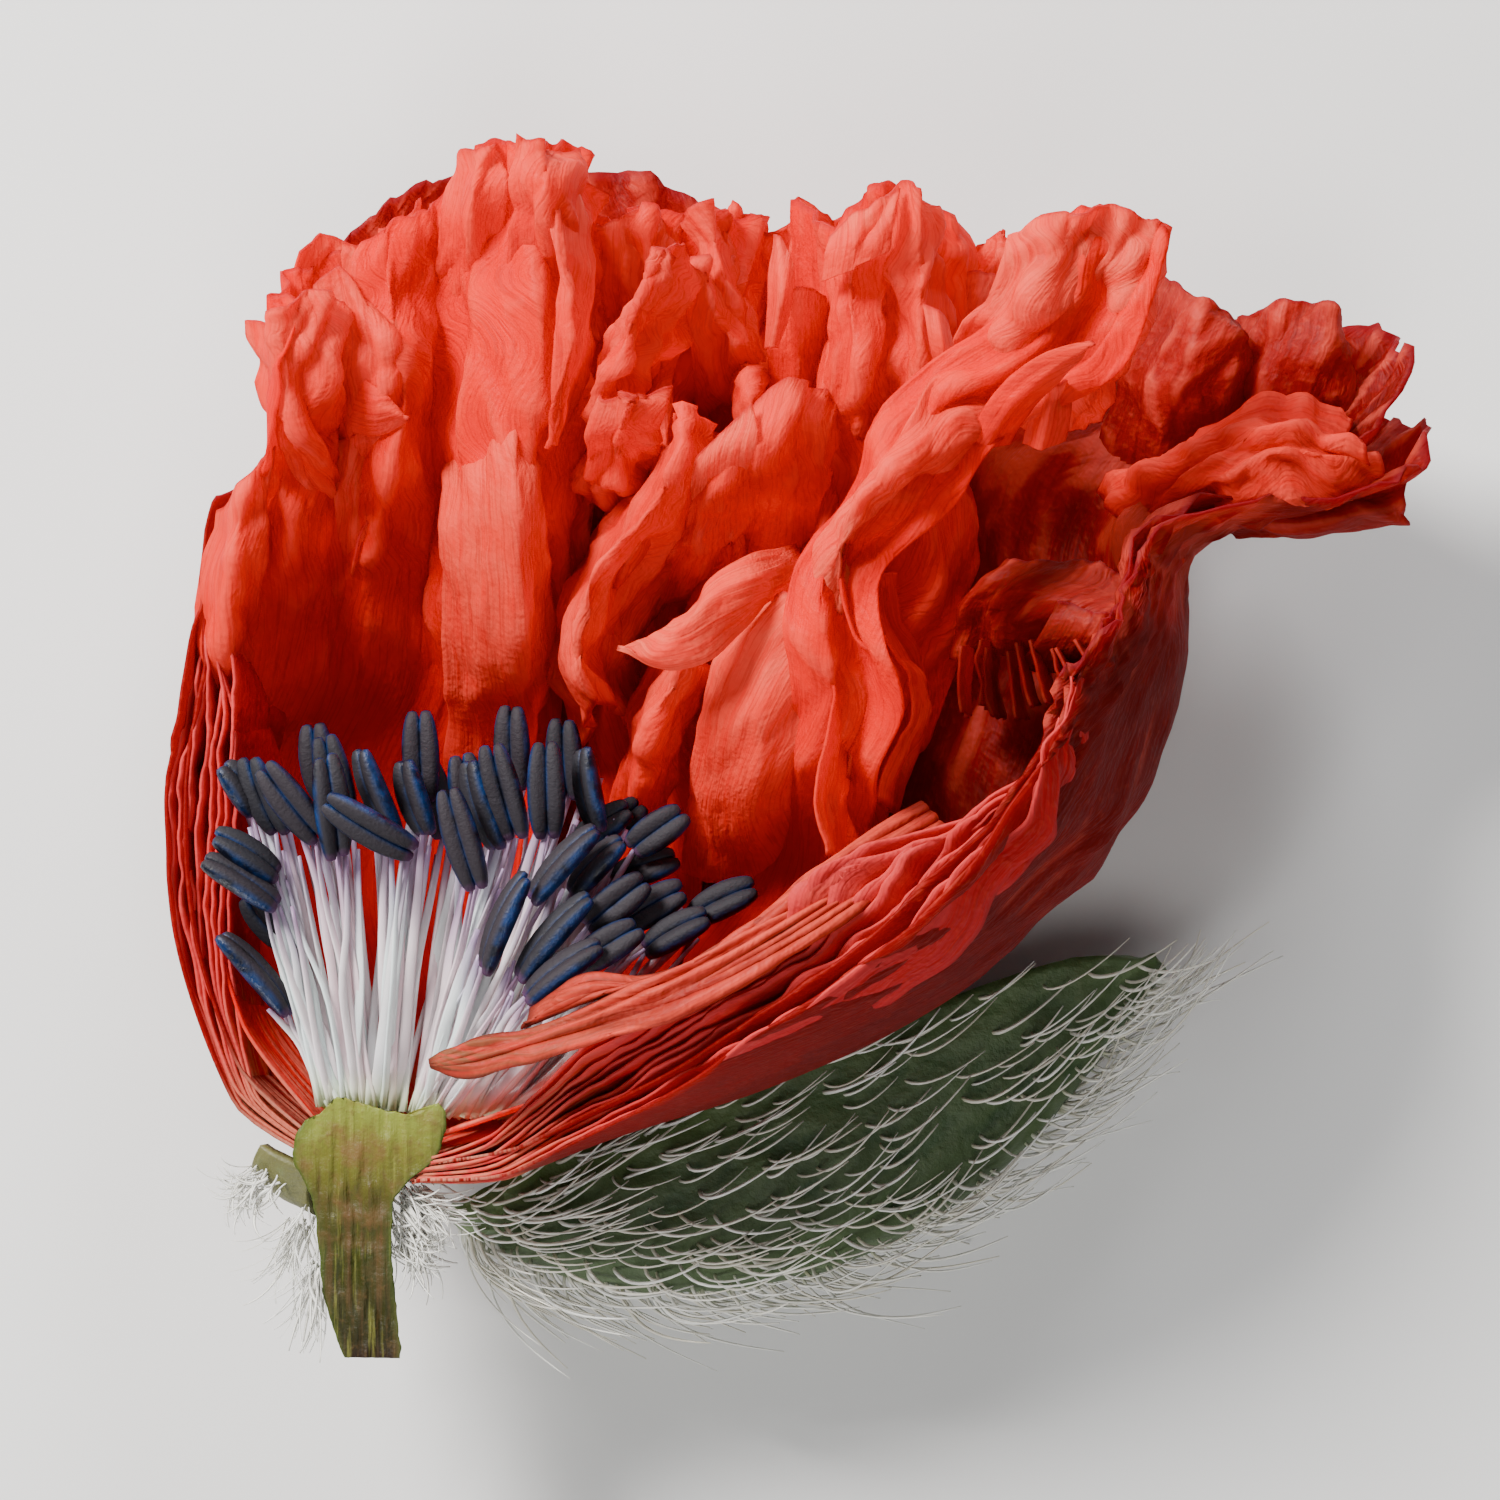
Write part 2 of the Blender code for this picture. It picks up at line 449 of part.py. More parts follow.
def build_bunch(name):
    """A bunch of stamens, all sunk in the cushion that they grow from and joined in one solid."""
    first, last, radius = STAMEN_ROOTS[name]
    first, last = np.array(first), np.array(last)
    path = first + np.linspace(-0.05, 1.05, 6)[:, None] * (last - first)
    radii = np.full(6, radius)
    cushion = tube(name, path, radii, radii, 8, ANTHER_BLUE)
    rows = STAMENS[name]
    feet = np.argsort(np.argsort([row[2] for row in rows])) / (len(rows) - 1)
    parts = bpy.data.collections.new(name + "_parts")
    bpy.context.scene.collection.children.link(parts)
    for number, row in enumerate(rows):
        root = first + (last - first) * feet[number]
        for piece in build_stamen(name + str(number), row, root):
            bpy.context.scene.collection.objects.unlink(piece)
            parts.objects.link(piece)
    join = cushion.modifiers.new("join", "BOOLEAN")
    join.operation = "UNION"
    join.operand_type = "COLLECTION"
    join.collection = parts
    join.solver = "MANIFOLD"
    bpy.context.view_layer.update()
    joined = bpy.data.meshes.new_from_object(cushion.evaluated_get(bpy.context.evaluated_depsgraph_get()))
    cushion.modifiers.clear()
    cushion.data = joined
    for piece in list(parts.objects):
        bpy.data.objects.remove(piece)
    bpy.data.collections.remove(parts)


def arched_sheet(upper, crown, lower, rows, columns):
    """A sheet between two edges that bulges through a crown line, as rows of places."""
    v = np.linspace(0, 1, rows)
    a, b, c = spline(upper, v)[:, None], spline(crown, v)[:, None], spline(lower, v)[:, None]
    w = np.linspace(-1, 1, columns)[None, :, None]
    return b + (c - a) / 2 * w + ((a + c) / 2 - b) * w**2


def build_sepal():
    """The sepal, its upper edge held clear of the petals and its back pressed flat on the surface."""
    turn, clear = SEPAL_UPPER
    v = np.linspace(0, 1, len(SEPAL_CROWN))
    wall, inward, _ = bud_wall(SEPAL_ALONG[0] + (SEPAL_ALONG[1] - SEPAL_ALONG[0]) * v, np.full_like(v, turn))
    upper = leaned(wall - inward * clear)
    tip = np.array(SEPAL_CROWN[-1]) + SEPAL_TIP
    upper += (tip - upper) * smooth(v, 0.6, 1.0)[:, None]
    places = arched_sheet(upper, SEPAL_CROWN, SEPAL_LOWER, SEPAL_ROWS, SEPAL_COLUMNS)
    places[..., 2] = np.maximum(places[..., 2], SEPAL_THICK / 2 - AXIS_HEIGHT)
    thicken(new_object("sepal", places, grid_faces(*places.shape[:2]), SEPAL_GREEN), SEPAL_THICK)


def build_sepal_scar():
    crown = (np.array(SCAR_UPPER) + SCAR_LOWER) / 2 + SCAR_BULGE
    places = arched_sheet(SCAR_UPPER, crown, SCAR_LOWER, 5, 5)
    thicken(new_object("sepal_scar_left", places, grid_faces(5, 5), SEPAL_GREEN), SEPAL_THICK)


def main():
    for obj in list(bpy.data.objects):
        bpy.data.objects.remove(obj)
    for name, (layer, folds) in OUTER_FOLDS.items():
        build_petal(name, layer, outer_sheet(folds, layer), PETAL_DARK)
    for name, (layer, folds) in INNER_FOLDS.items():
        build_petal(name, layer, inner_sheet(folds, layer), PETAL_RED)
    build_strip()
    build_stem()
    for name in STAMENS:
        build_bunch(name)
    build_sepal()
    build_sepal_scar()


main()
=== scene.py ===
import json
import math

import bpy
import numpy as np
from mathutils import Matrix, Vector

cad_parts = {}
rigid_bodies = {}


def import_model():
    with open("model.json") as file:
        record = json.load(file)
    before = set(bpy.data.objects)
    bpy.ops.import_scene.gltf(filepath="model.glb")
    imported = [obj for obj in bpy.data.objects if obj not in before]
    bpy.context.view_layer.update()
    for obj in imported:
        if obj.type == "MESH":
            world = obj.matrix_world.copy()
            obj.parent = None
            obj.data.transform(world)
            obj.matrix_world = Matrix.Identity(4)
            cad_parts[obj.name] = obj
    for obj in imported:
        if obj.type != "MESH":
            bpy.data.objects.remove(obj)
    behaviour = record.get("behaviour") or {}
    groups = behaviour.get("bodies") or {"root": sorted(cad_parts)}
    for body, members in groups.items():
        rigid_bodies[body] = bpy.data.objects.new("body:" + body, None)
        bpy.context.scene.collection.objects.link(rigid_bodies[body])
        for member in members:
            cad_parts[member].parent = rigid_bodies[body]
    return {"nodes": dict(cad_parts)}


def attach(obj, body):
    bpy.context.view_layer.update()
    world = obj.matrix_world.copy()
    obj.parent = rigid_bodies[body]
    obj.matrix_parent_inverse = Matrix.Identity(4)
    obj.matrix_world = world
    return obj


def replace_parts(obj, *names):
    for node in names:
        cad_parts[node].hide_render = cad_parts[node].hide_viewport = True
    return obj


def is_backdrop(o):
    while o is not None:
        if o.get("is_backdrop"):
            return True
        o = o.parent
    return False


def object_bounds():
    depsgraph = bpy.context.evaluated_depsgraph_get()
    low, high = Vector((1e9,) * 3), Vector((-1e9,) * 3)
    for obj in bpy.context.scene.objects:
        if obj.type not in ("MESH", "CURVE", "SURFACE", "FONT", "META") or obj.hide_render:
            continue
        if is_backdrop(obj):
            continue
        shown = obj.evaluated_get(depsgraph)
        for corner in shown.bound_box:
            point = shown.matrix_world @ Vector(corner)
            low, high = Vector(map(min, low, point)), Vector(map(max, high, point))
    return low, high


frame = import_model()
cadBox = [list(corner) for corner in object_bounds()]
print("frame loaded:", len(frame["nodes"]), "nodes")

mm = 0.001

# The bud's own shape, as in the solids: millimetres, and turns round its axis from the left rim (0) to the right (1)
bud = {
    "lean": 24.0,
    "axisHeight": 15.2,
    "restSpot": (0.5, 27.0),
    "leftRim": 10.0,
    "rightRimBase": 196.0,
    "rightRim": 218.0,
    "rimRises": (-3.0, 14.0),
    "profile": (  # along, left radius, right radius, depth
        (-3.6, 3.4, 3.0, 3.9), (-1.0, 8.0, 5.0, 6.2), (4.5, 13.4, 10.2, 10.4), (10.5, 16.8, 16.8, 13.6),
        (17.0, 18.9, 22.4, 15.4), (24.0, 20.4, 26.2, 16.2), (31.0, 20.9, 28.2, 16.4), (38.0, 24.0, 27.2, 16.2),
        (44.0, 25.2, 25.6, 16.0), (50.0, 25.2, 32.8, 15.8), (56.0, 24.6, 36.0, 15.4)),
    "bandLows": (0.0, 0.14, 0.28, 0.87),
    "bandHighs": (0.06, 0.21, 0.80, 1.05),
    "layerStep": 1.0,
    "foldsStart": 15.0,
    "foldsFull": 32.0,
    "faceInset": 3.6,
    "faceTuck": 5.0,
    "faceBulge": 4.0,
    "flare": 1.5,
    "petalBase": (-3.4, 0.8, 2.2),
    "solidThick": 0.62,
}


def smooth(x, low, high):
    t = np.clip((np.asarray(x, float) - low) / (high - low), 0.0, 1.0)
    return t * t * (3.0 - 2.0 * t)


def spline(points, where):  # a curve through evenly spaced points, read at where, 0 to 1
    p = np.asarray(points, float)
    p = np.concatenate([2 * p[:1] - p[1:2], p, 2 * p[-1:] - p[-2:-1]])
    x = np.clip(np.asarray(where, float), 0.0, 1.0) * (len(p) - 3)
    i = np.minimum(x.astype(int), len(p) - 4)
    t = (x - i).reshape(x.shape + (1,) * (p.ndim - 1))
    a, b, c, d = p[i], p[i + 1], p[i + 2], p[i + 3]
    return 0.5 * (2 * b + (c - a) * t + (2 * a - 5 * b + 4 * c - d) * t**2 + (3 * b - a - 3 * c + d) * t**3)


profileSteps = np.linspace(0.0, 1.0, 200)
profileAlong = spline(bud["profile"], profileSteps)[:, 0]


def budWall(along, turn):  # a point of the outer wall, the way inwards there, and the way to the open side
    row = spline(bud["profile"], np.interp(along, profileAlong, profileSteps))
    left, right, depth = row[..., 1], row[..., 2], row[..., 3]
    first = math.radians(bud["leftRim"])
    climb = smooth(along, *bud["rimRises"])
    last = np.radians(bud["rightRimBase"] + (bud["rightRim"] - bud["rightRimBase"]) * climb)
    angle = first + (last - first) * turn
    radius = np.where(np.cos(angle) > 0, left, right)
    wall = np.stack([-np.cos(angle) * radius, along, -np.sin(angle) * depth], -1)
    inward = np.stack([np.cos(angle) / radius, np.zeros_like(angle), np.sin(angle) / depth], -1)
    inward /= np.linalg.norm(inward, axis=-1, keepdims=True)
    inward[..., 1] = bud["flare"] * (1.0 - smooth(along, -6.0, 22.0))
    inward /= np.linalg.norm(inward, axis=-1, keepdims=True)
    start = np.stack([-math.cos(first) * left, along, -math.sin(first) * depth], -1)
    end = np.stack([-np.cos(last) * right, along, -np.sin(last) * depth], -1)
    inset = np.minimum(bud["faceInset"], 0.3 * left) / np.linalg.norm(end - start, axis=-1)
    inset = inset[..., None]
    face = start + (end - start) * (inset + (1 - 2 * inset) * turn[..., None])
    face[..., 1] += bud["faceTuck"] * (1.0 - smooth(along, -4.0, 16.0))
    face[..., 2] += bud["faceBulge"] * np.sin(np.pi * np.clip(turn, 0, 1)) * smooth(along, 8.0, 30.0)
    return wall, inward, face - wall


def depthPlace(along, turn, share):  # share is 0 on the outer wall and 1 on the open side
    along, turn, share = np.broadcast_arrays(along, turn, share)
    wall, inward, toFace = budWall(along, turn)
    reach, share = np.linalg.norm(toFace, axis=-1)[..., None], share[..., None]
    return wall + share * (1 - share) * reach * inward + share**2 * toFace


def budPlace(along, turn, layer, stand):
    along, turn, stand = np.broadcast_arrays(along, turn, stand)
    wall, inward, toFace = budWall(along, turn)
    reach = np.linalg.norm(toFace, axis=-1)
    low = np.interp(layer, range(4), bud["bandLows"])
    high = np.interp(layer, range(4), bud["bandHighs"])
    pressed = layer * bud["layerStep"] / reach
    folded = np.maximum(low + (high - low) * stand, pressed)
    return depthPlace(along, turn, pressed + (folded - pressed) * smooth(along, bud["foldsStart"], bud["foldsFull"]))


def leaned(places):  # bud places as (right, up, height) from the receptacle
    lean = math.radians(bud["lean"])
    right = places[..., 0] * math.cos(lean) + places[..., 1] * math.sin(lean)
    up = -places[..., 0] * math.sin(lean) + places[..., 1] * math.cos(lean)
    return np.stack([right, up, places[..., 2]], -1)


restPoint = leaned(np.array([bud["restSpot"][0], bud["restSpot"][1], -bud["axisHeight"]]))


def toWorld(places):
    return (np.asarray(places, float) - restPoint) * mm


def findTurn(right, up, place, depth):  # where the surface that place() gives is seen from above at (right, up)
    lean = math.radians(bud["lean"])
    along = right * math.sin(lean) + up * math.cos(lean)
    leftWidth, wholeWidth = 22.0, 46.0  # mm, for the first guess
    turn = np.clip((right * math.cos(lean) - up * math.sin(lean) + leftWidth) / wholeWidth, 0.02, 0.98)
    step = 1e-3
    for _ in range(30):
        here = leaned(place(along, turn, depth))
        byAlong = (leaned(place(along + step, turn, depth)) - here) / step
        byTurn = (leaned(place(along, turn + step, depth)) - here) / step
        missRight, missUp = here[..., 0] - right, here[..., 1] - up
        det = byAlong[..., 0] * byTurn[..., 1] - byTurn[..., 0] * byAlong[..., 1]
        det = np.where(np.abs(det) < 1.0, -1.0, det)
        along = along - np.clip((byTurn[..., 1] * missRight - byTurn[..., 0] * missUp) / det, -3.0, 3.0)
        turn = turn - np.clip((byAlong[..., 0] * missUp - byAlong[..., 1] * missRight) / det, -0.08, 0.08)
        turn = np.clip(turn, -0.1, 1.0)
    return along, turn


# Noises for the crumpling, each from -1 to 1
noiseCells = 64  # each repeats after so many cells
toTriangles = 0.3660254  # skews squares so that their halves are even triangles


def softNoise(x, y, seed):
    angles = np.random.default_rng(seed).uniform(0, 2 * np.pi, (noiseCells, noiseCells))
    x, y = np.broadcast_arrays(np.asarray(x, float), np.asarray(y, float))
    i, j = np.floor(x).astype(int), np.floor(y).astype(int)
    fx, fy = x - i, y - j

    def corner(a, b):
        angle = angles[(i + a) % noiseCells, (j + b) % noiseCells]
        return np.cos(angle) * (fx - a) + np.sin(angle) * (fy - b)

    ux, uy = fx * fx * (3 - 2 * fx), fy * fy * (3 - 2 * fy)
    near = corner(0, 0) * (1 - ux) + corner(1, 0) * ux
    far = corner(0, 1) * (1 - ux) + corner(1, 1) * ux
    return 1.4 * (near * (1 - uy) + far * uy)


def facetNoise(x, y, seed):  # flat facets with sharp creases between them
    heights = np.random.default_rng(seed).uniform(-1, 1, (noiseCells, noiseCells))
    skew = (x + y) * toTriangles
    sx, sy = x + skew, y + skew
    i, j = np.floor(sx).astype(int), np.floor(sy).astype(int)
    fx, fy = sx - i, sy - j
    a, b = heights[i % noiseCells, j % noiseCells], heights[(i + 1) % noiseCells, (j + 1) % noiseCells]
    c = np.where(fx > fy, heights[(i + 1) % noiseCells, j % noiseCells], heights[i % noiseCells, (j + 1) % noiseCells])
    return a * (1 - np.maximum(fx, fy)) + b * np.minimum(fx, fy) + c * np.abs(fx - fy)


# Shader maths written as Python expressions
class Wire:
    def __init__(self, recipe, socket):
        self.recipe, self.socket = recipe, socket

    def maths(self, operation, *values):
        return self.recipe.add("ShaderNodeMath", {"operation": operation}, dict(enumerate(values)))[0]

    def __add__(self, other):
        return self.maths("ADD", self, other)

    def __radd__(self, other):
        return self.maths("ADD", other, self)

    def __sub__(self, other):
        return self.maths("SUBTRACT", self, other)

    def __mul__(self, other):
        return self.maths("MULTIPLY", self, other)


class Recipe:
    def __init__(self, name):
        self.material = bpy.data.materials.new(name)
        self.material.use_nodes = True
        self.tree = self.material.node_tree
        self.tree.nodes.clear()

    def add(self, kind, settings=None, sockets=None):  # settings first, then each socket's value or link
        node = self.tree.nodes.new(kind)
        for name, value in (settings or {}).items():
            if name == "stops":
                ramp = node.color_ramp
                while len(ramp.elements) < len(value):
                    ramp.elements.new(0.5)
                for stop, (place, colour) in zip(ramp.elements, value):
                    stop.position = place
                    stop.color = (*colour, 1.0)
            else:
                setattr(node, name, value)
        for key, value in (sockets or {}).items():
            if isinstance(value, Wire):
                self.tree.links.new(value.socket, node.inputs[key])
            elif isinstance(value, (tuple, list)) and len(value) == 3 and node.inputs[key].type == "RGBA":
                node.inputs[key].default_value = (*value, 1.0)
            else:
                node.inputs[key].default_value = value
        return [Wire(self, out) for out in node.outputs]

    def mix(self, share, first, second, how="MIX"):  # of two colours
        return self.add("ShaderNodeMix", {"data_type": "RGBA", "blend_type": how, "clamp_factor": True},
                        {0: share, 6: first, 7: second})[2]

    def ramp(self, value, *stops):  # each stop is (place, red, green, blue)
        return self.add("ShaderNodeValToRGB", {"stops": [(s[0], s[1:]) for s in stops]}, {"Fac": value})[0]

    def between(self, value, low, high):  # 0 at low, 1 at high, and even in between
        return self.add("ShaderNodeMapRange", {"clamp": True}, {0: value, 1: low, 2: high, 3: 0.0, 4: 1.0})[0]

    def noise(self, where, scale, detail=3.0, roughness=0.55, kind="3D"):
        return self.add("ShaderNodeTexNoise", {"noise_dimensions": kind},
                        {"Vector": where, "Scale": scale, "Detail": detail, "Roughness": roughness})[0]

    def stretched(self, where, x, y, z=1.0):
        return self.add("ShaderNodeMapping", {"vector_type": "POINT"}, {"Vector": where, "Scale": (x, y, z)})[0]

    def attribute(self, name):
        return self.add("ShaderNodeAttribute", {"attribute_name": name})[2]

    def uv(self, name):
        return self.add("ShaderNodeUVMap", {"uv_map": name})[0]

    def place(self):
        return self.add("ShaderNodeTexCoord")[3]

    def bump(self, height, distance, strength=1.0):
        return self.add("ShaderNodeBump", None, {"Height": height, "Distance": distance, "Strength": strength})[0]

    def finish(self, shader):
        out = self.tree.nodes.new("ShaderNodeOutputMaterial")
        self.tree.links.new(shader.socket, out.inputs["Surface"])
        return self.material


def deselectAll():
    for obj in bpy.context.view_layer.objects:
        obj.select_set(False)


def makeActive(obj):
    deselectAll()
    obj.select_set(True)
    bpy.context.view_layer.objects.active = obj


def applyModifier(obj, kind, **settings):
    makeActive(obj)
    modifier = obj.modifiers.new(kind.lower(), kind)
    for name, value in settings.items():
        setattr(modifier, name, value)
    bpy.ops.object.modifier_apply(modifier=modifier.name)


def moveTo(obj, places):
    obj.data.vertices.foreach_set("co", toWorld(places).astype(np.float32).ravel())
    obj.data.update()


def addNumbers(obj, name, values):
    layer = obj.data.attributes.new(name, "FLOAT", "POINT")
    layer.data.foreach_set("value", np.asarray(values, np.float32).ravel())


# A thin sheet, laid out as a grid and then bent, crumpled and given a thickness
def makeSheet(name, grid, thickness, material, numbers):
    rows, columns = grid.shape[:2]
    deselectAll()
    bpy.ops.mesh.primitive_grid_add(x_subdivisions=columns - 1, y_subdivisions=rows - 1, size=0.02)
    sheet = bpy.context.object
    sheet.name = name
    sheet.data.name = name
    moveTo(sheet, grid)
    uvs = np.zeros(len(sheet.data.loops) * 2, np.float32)
    corners = np.zeros(len(sheet.data.loops), np.int32)
    sheet.data.loops.foreach_get("vertex_index", corners)
    across, along = arcs(grid)
    uvs[0::2], uvs[1::2] = across.ravel()[corners], along.ravel()[corners]
    layer = sheet.data.uv_layers.active or sheet.data.uv_layers.new(name="UVMap")
    layer.name = "petalMap"
    layer.data.foreach_set("uv", uvs)
    for label, values in numbers.items():
        addNumbers(sheet, label, values)
    applyModifier(sheet, "SOLIDIFY", thickness=thickness * mm, offset=0.0)
    bpy.ops.object.shade_smooth()
    sheet.data.materials.clear()
    sheet.data.materials.append(material)
    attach(sheet, "root")
    return sheet


def arcs(grid):  # how far each point is across and along the sheet, in centimetres
    across = np.linalg.norm(np.diff(grid, axis=1), axis=-1)
    along = np.linalg.norm(np.diff(grid, axis=0), axis=-1)
    across = np.concatenate([np.zeros((grid.shape[0], 1)), np.cumsum(across, axis=1)], axis=1)
    along = np.concatenate([np.zeros((1, grid.shape[1])), np.cumsum(along, axis=0)], axis=0)
    return across / 10.0, along / 10.0


def wayOut(grid):  # the sheet's normals, on the side that faces up
    byRow, byColumn = np.gradient(grid, axis=0), np.gradient(grid, axis=1)
    normal = np.cross(byColumn, byRow)
    normal /= np.maximum(np.linalg.norm(normal, axis=-1, keepdims=True), 1e-9)
    return normal if normal[..., 2].mean() > 0 else -normal


def blurred(grid, size):
    for axis in (0, 1):
        pad = [(0, 0)] * grid.ndim
        pad[axis] = (size, size)
        wide = np.pad(grid, pad, mode="edge")
        total = np.cumsum(wide, axis=axis)
        total = np.concatenate([np.zeros_like(np.take(total, [0], axis=axis)), total], axis=axis)
        count = 2 * size + 1
        grid = (np.take(total, range(count, total.shape[axis]), axis=axis)
                - np.take(total, range(0, total.shape[axis] - count), axis=axis)) / count
    return grid


crumpling = {  # all in mm: how high, and for a pair how wide and how long
    "facets": 0.95,  # flat facets
    "facetSize": (3.4, 5.4),
    "smallFacets": 0.42,  # facets between them
    "smallFacetSize": (1.5, 2.3),
    "creases": 0.18,  # sharp lines along the petal
    "creaseSize": (2.4, 13.0),
    "wrinkles": 0.05,
    "wrinkleSize": (0.7, 2.2),
    "margin": 0.8,  # how uneven the free edge is
    "curl": 0.9,  # how far the free edge waves
    "smoothUpTo": (0.25, 0.65),  # as shares of the petal: smooth before the first, fully crumpled after the second
}


def crumple(grid, seed, strength=1.0, marginStrength=1.0, smoothFoot=True, size=0.85):
    across, along = arcs(grid)
    s, t = across * 10.0 + 40.0, along * 10.0 + 40.0
    v = np.linspace(0, 1, grid.shape[0])[:, None] * np.ones(grid.shape[1])
    rise = smooth(v, *crumpling["smoothUpTo"]) if smoothFoot else np.ones_like(v)
    bentS = s + 0.9 * softNoise(s / 5.0, t / 6.0, seed) + 0.2 * softNoise(s / 1.3, t / 1.7, seed + 1)
    bentT = t + 1.1 * softNoise(s / 4.4, t / 5.6, seed + 2)
    wide, long = crumpling["facetSize"]
    out = crumpling["facets"] * facetNoise(bentS / wide / size, bentT / long / size, seed + 3) * size
    wide, long = crumpling["smallFacetSize"]
    out = out + crumpling["smallFacets"] * facetNoise(bentS / wide / size + 9, bentT / long / size, seed + 4) * size
    wide, long = crumpling["creaseSize"]
    out = out + crumpling["creases"] * (0.5 - np.abs(softNoise(bentS / wide, bentT / long, seed + 5)) * 2.4)
    wide, long = crumpling["wrinkleSize"]
    out = out + crumpling["wrinkles"] * (0.4 - np.abs(softNoise(bentS / wide, bentT / long, seed + 6)) * 1.5)
    normal = wayOut(blurred(grid, 1))
    grid = grid + normal * (out * rise * strength)[..., None]
    ahead = np.gradient(grid, axis=0)
    ahead /= np.maximum(np.linalg.norm(ahead, axis=-1, keepdims=True), 1e-9)
    edge = smooth(v, 0.86, 1.0)
    reach = softNoise(s / 2.6, 0.5 + 0 * s, seed + 7) + 0.5 * softNoise(s / 0.8, 0.3 + 0 * s, seed + 8)
    wave = softNoise(s / 1.7, t / 6.0, seed + 9) + 0.4 * softNoise(s / 0.7, t / 3.0, seed + 10)
    grid = grid + ahead * (crumpling["margin"] * reach * edge * marginStrength)[..., None]
    return grid + normal * (crumpling["curl"] * wave * smooth(v, 0.8, 1.0) * marginStrength)[..., None]


def ridges(grid):  # how far each point stands out of its surroundings, in mm, at two sizes
    normal = wayOut(blurred(grid, 2))
    fine = ((grid - blurred(grid, 2)) * normal).sum(-1)
    broad = ((blurred(grid, 2) - blurred(grid, 9)) * normal).sum(-1)
    return fine, broad


# Petals
petals = {
    "thickness": 0.16,
    "stepsPerFold": 18,
    "rows": 150,
    "outerRows": 80,
    "outerStepsPerFold": 12,
    "foldSharpness": 0.55,  # 0 round, 1 sharp
    "wander": 0.10,  # how far a fold's height strays
    "sway": 0.006,  # and its place round the bud
    "gatherPoint": (-0.7, -0.9, -1.6),  # the feet are drawn towards it
    "gather": 0.45,  # by this share at the first row
    "gatherEnds": 0.07,  # and no more from this share of the petal on
}

outerFolds = {
    "petal_outer_left": (0, (
        (0.00, 0.00, 0.3, 26), (0.07, 0.05, 0.9, 29), (0.14, 0.11, 0.1, 34), (0.22, 0.18, 1.0, 40),
        (0.30, 0.25, 0.0, 43), (0.38, 0.32, 0.8, 47), (0.46, 0.40, 0.1, 49), (0.50, 0.46, 0.7, 48))),
    "petal_outer_right": (0, (
        (0.53, 0.49, 0.6, 49), (0.60, 0.55, 0.1, 50), (0.67, 0.62, 1.0, 52), (0.74, 0.70, 0.0, 54),
        (0.81, 0.77, 1.0, 54), (0.88, 0.84, 0.1, 52), (0.94, 0.92, 0.9, 44), (1.00, 1.00, 0.3, 36))),
    "petal_middle_left": (1, (
        (0.00, 0.00, 0.2, 30), (0.05, 0.04, 1.0, 34), (0.11, 0.09, 0.0, 40), (0.18, 0.14, 1.0, 45),
        (0.25, 0.21, 0.1, 48), (0.33, 0.28, 0.9, 50), (0.40, 0.36, 0.1, 50))),
    "petal_middle_right": (1, (
        (0.43, 0.39, 0.2, 50), (0.51, 0.46, 1.0, 52), (0.59, 0.54, 0.0, 53), (0.67, 0.62, 1.0, 56),
        (0.75, 0.70, 0.1, 58), (0.83, 0.79, 1.0, 57), (0.90, 0.87, 0.0, 48), (0.95, 0.94, 1.0, 40),
        (1.00, 1.00, 0.3, 35))),
}

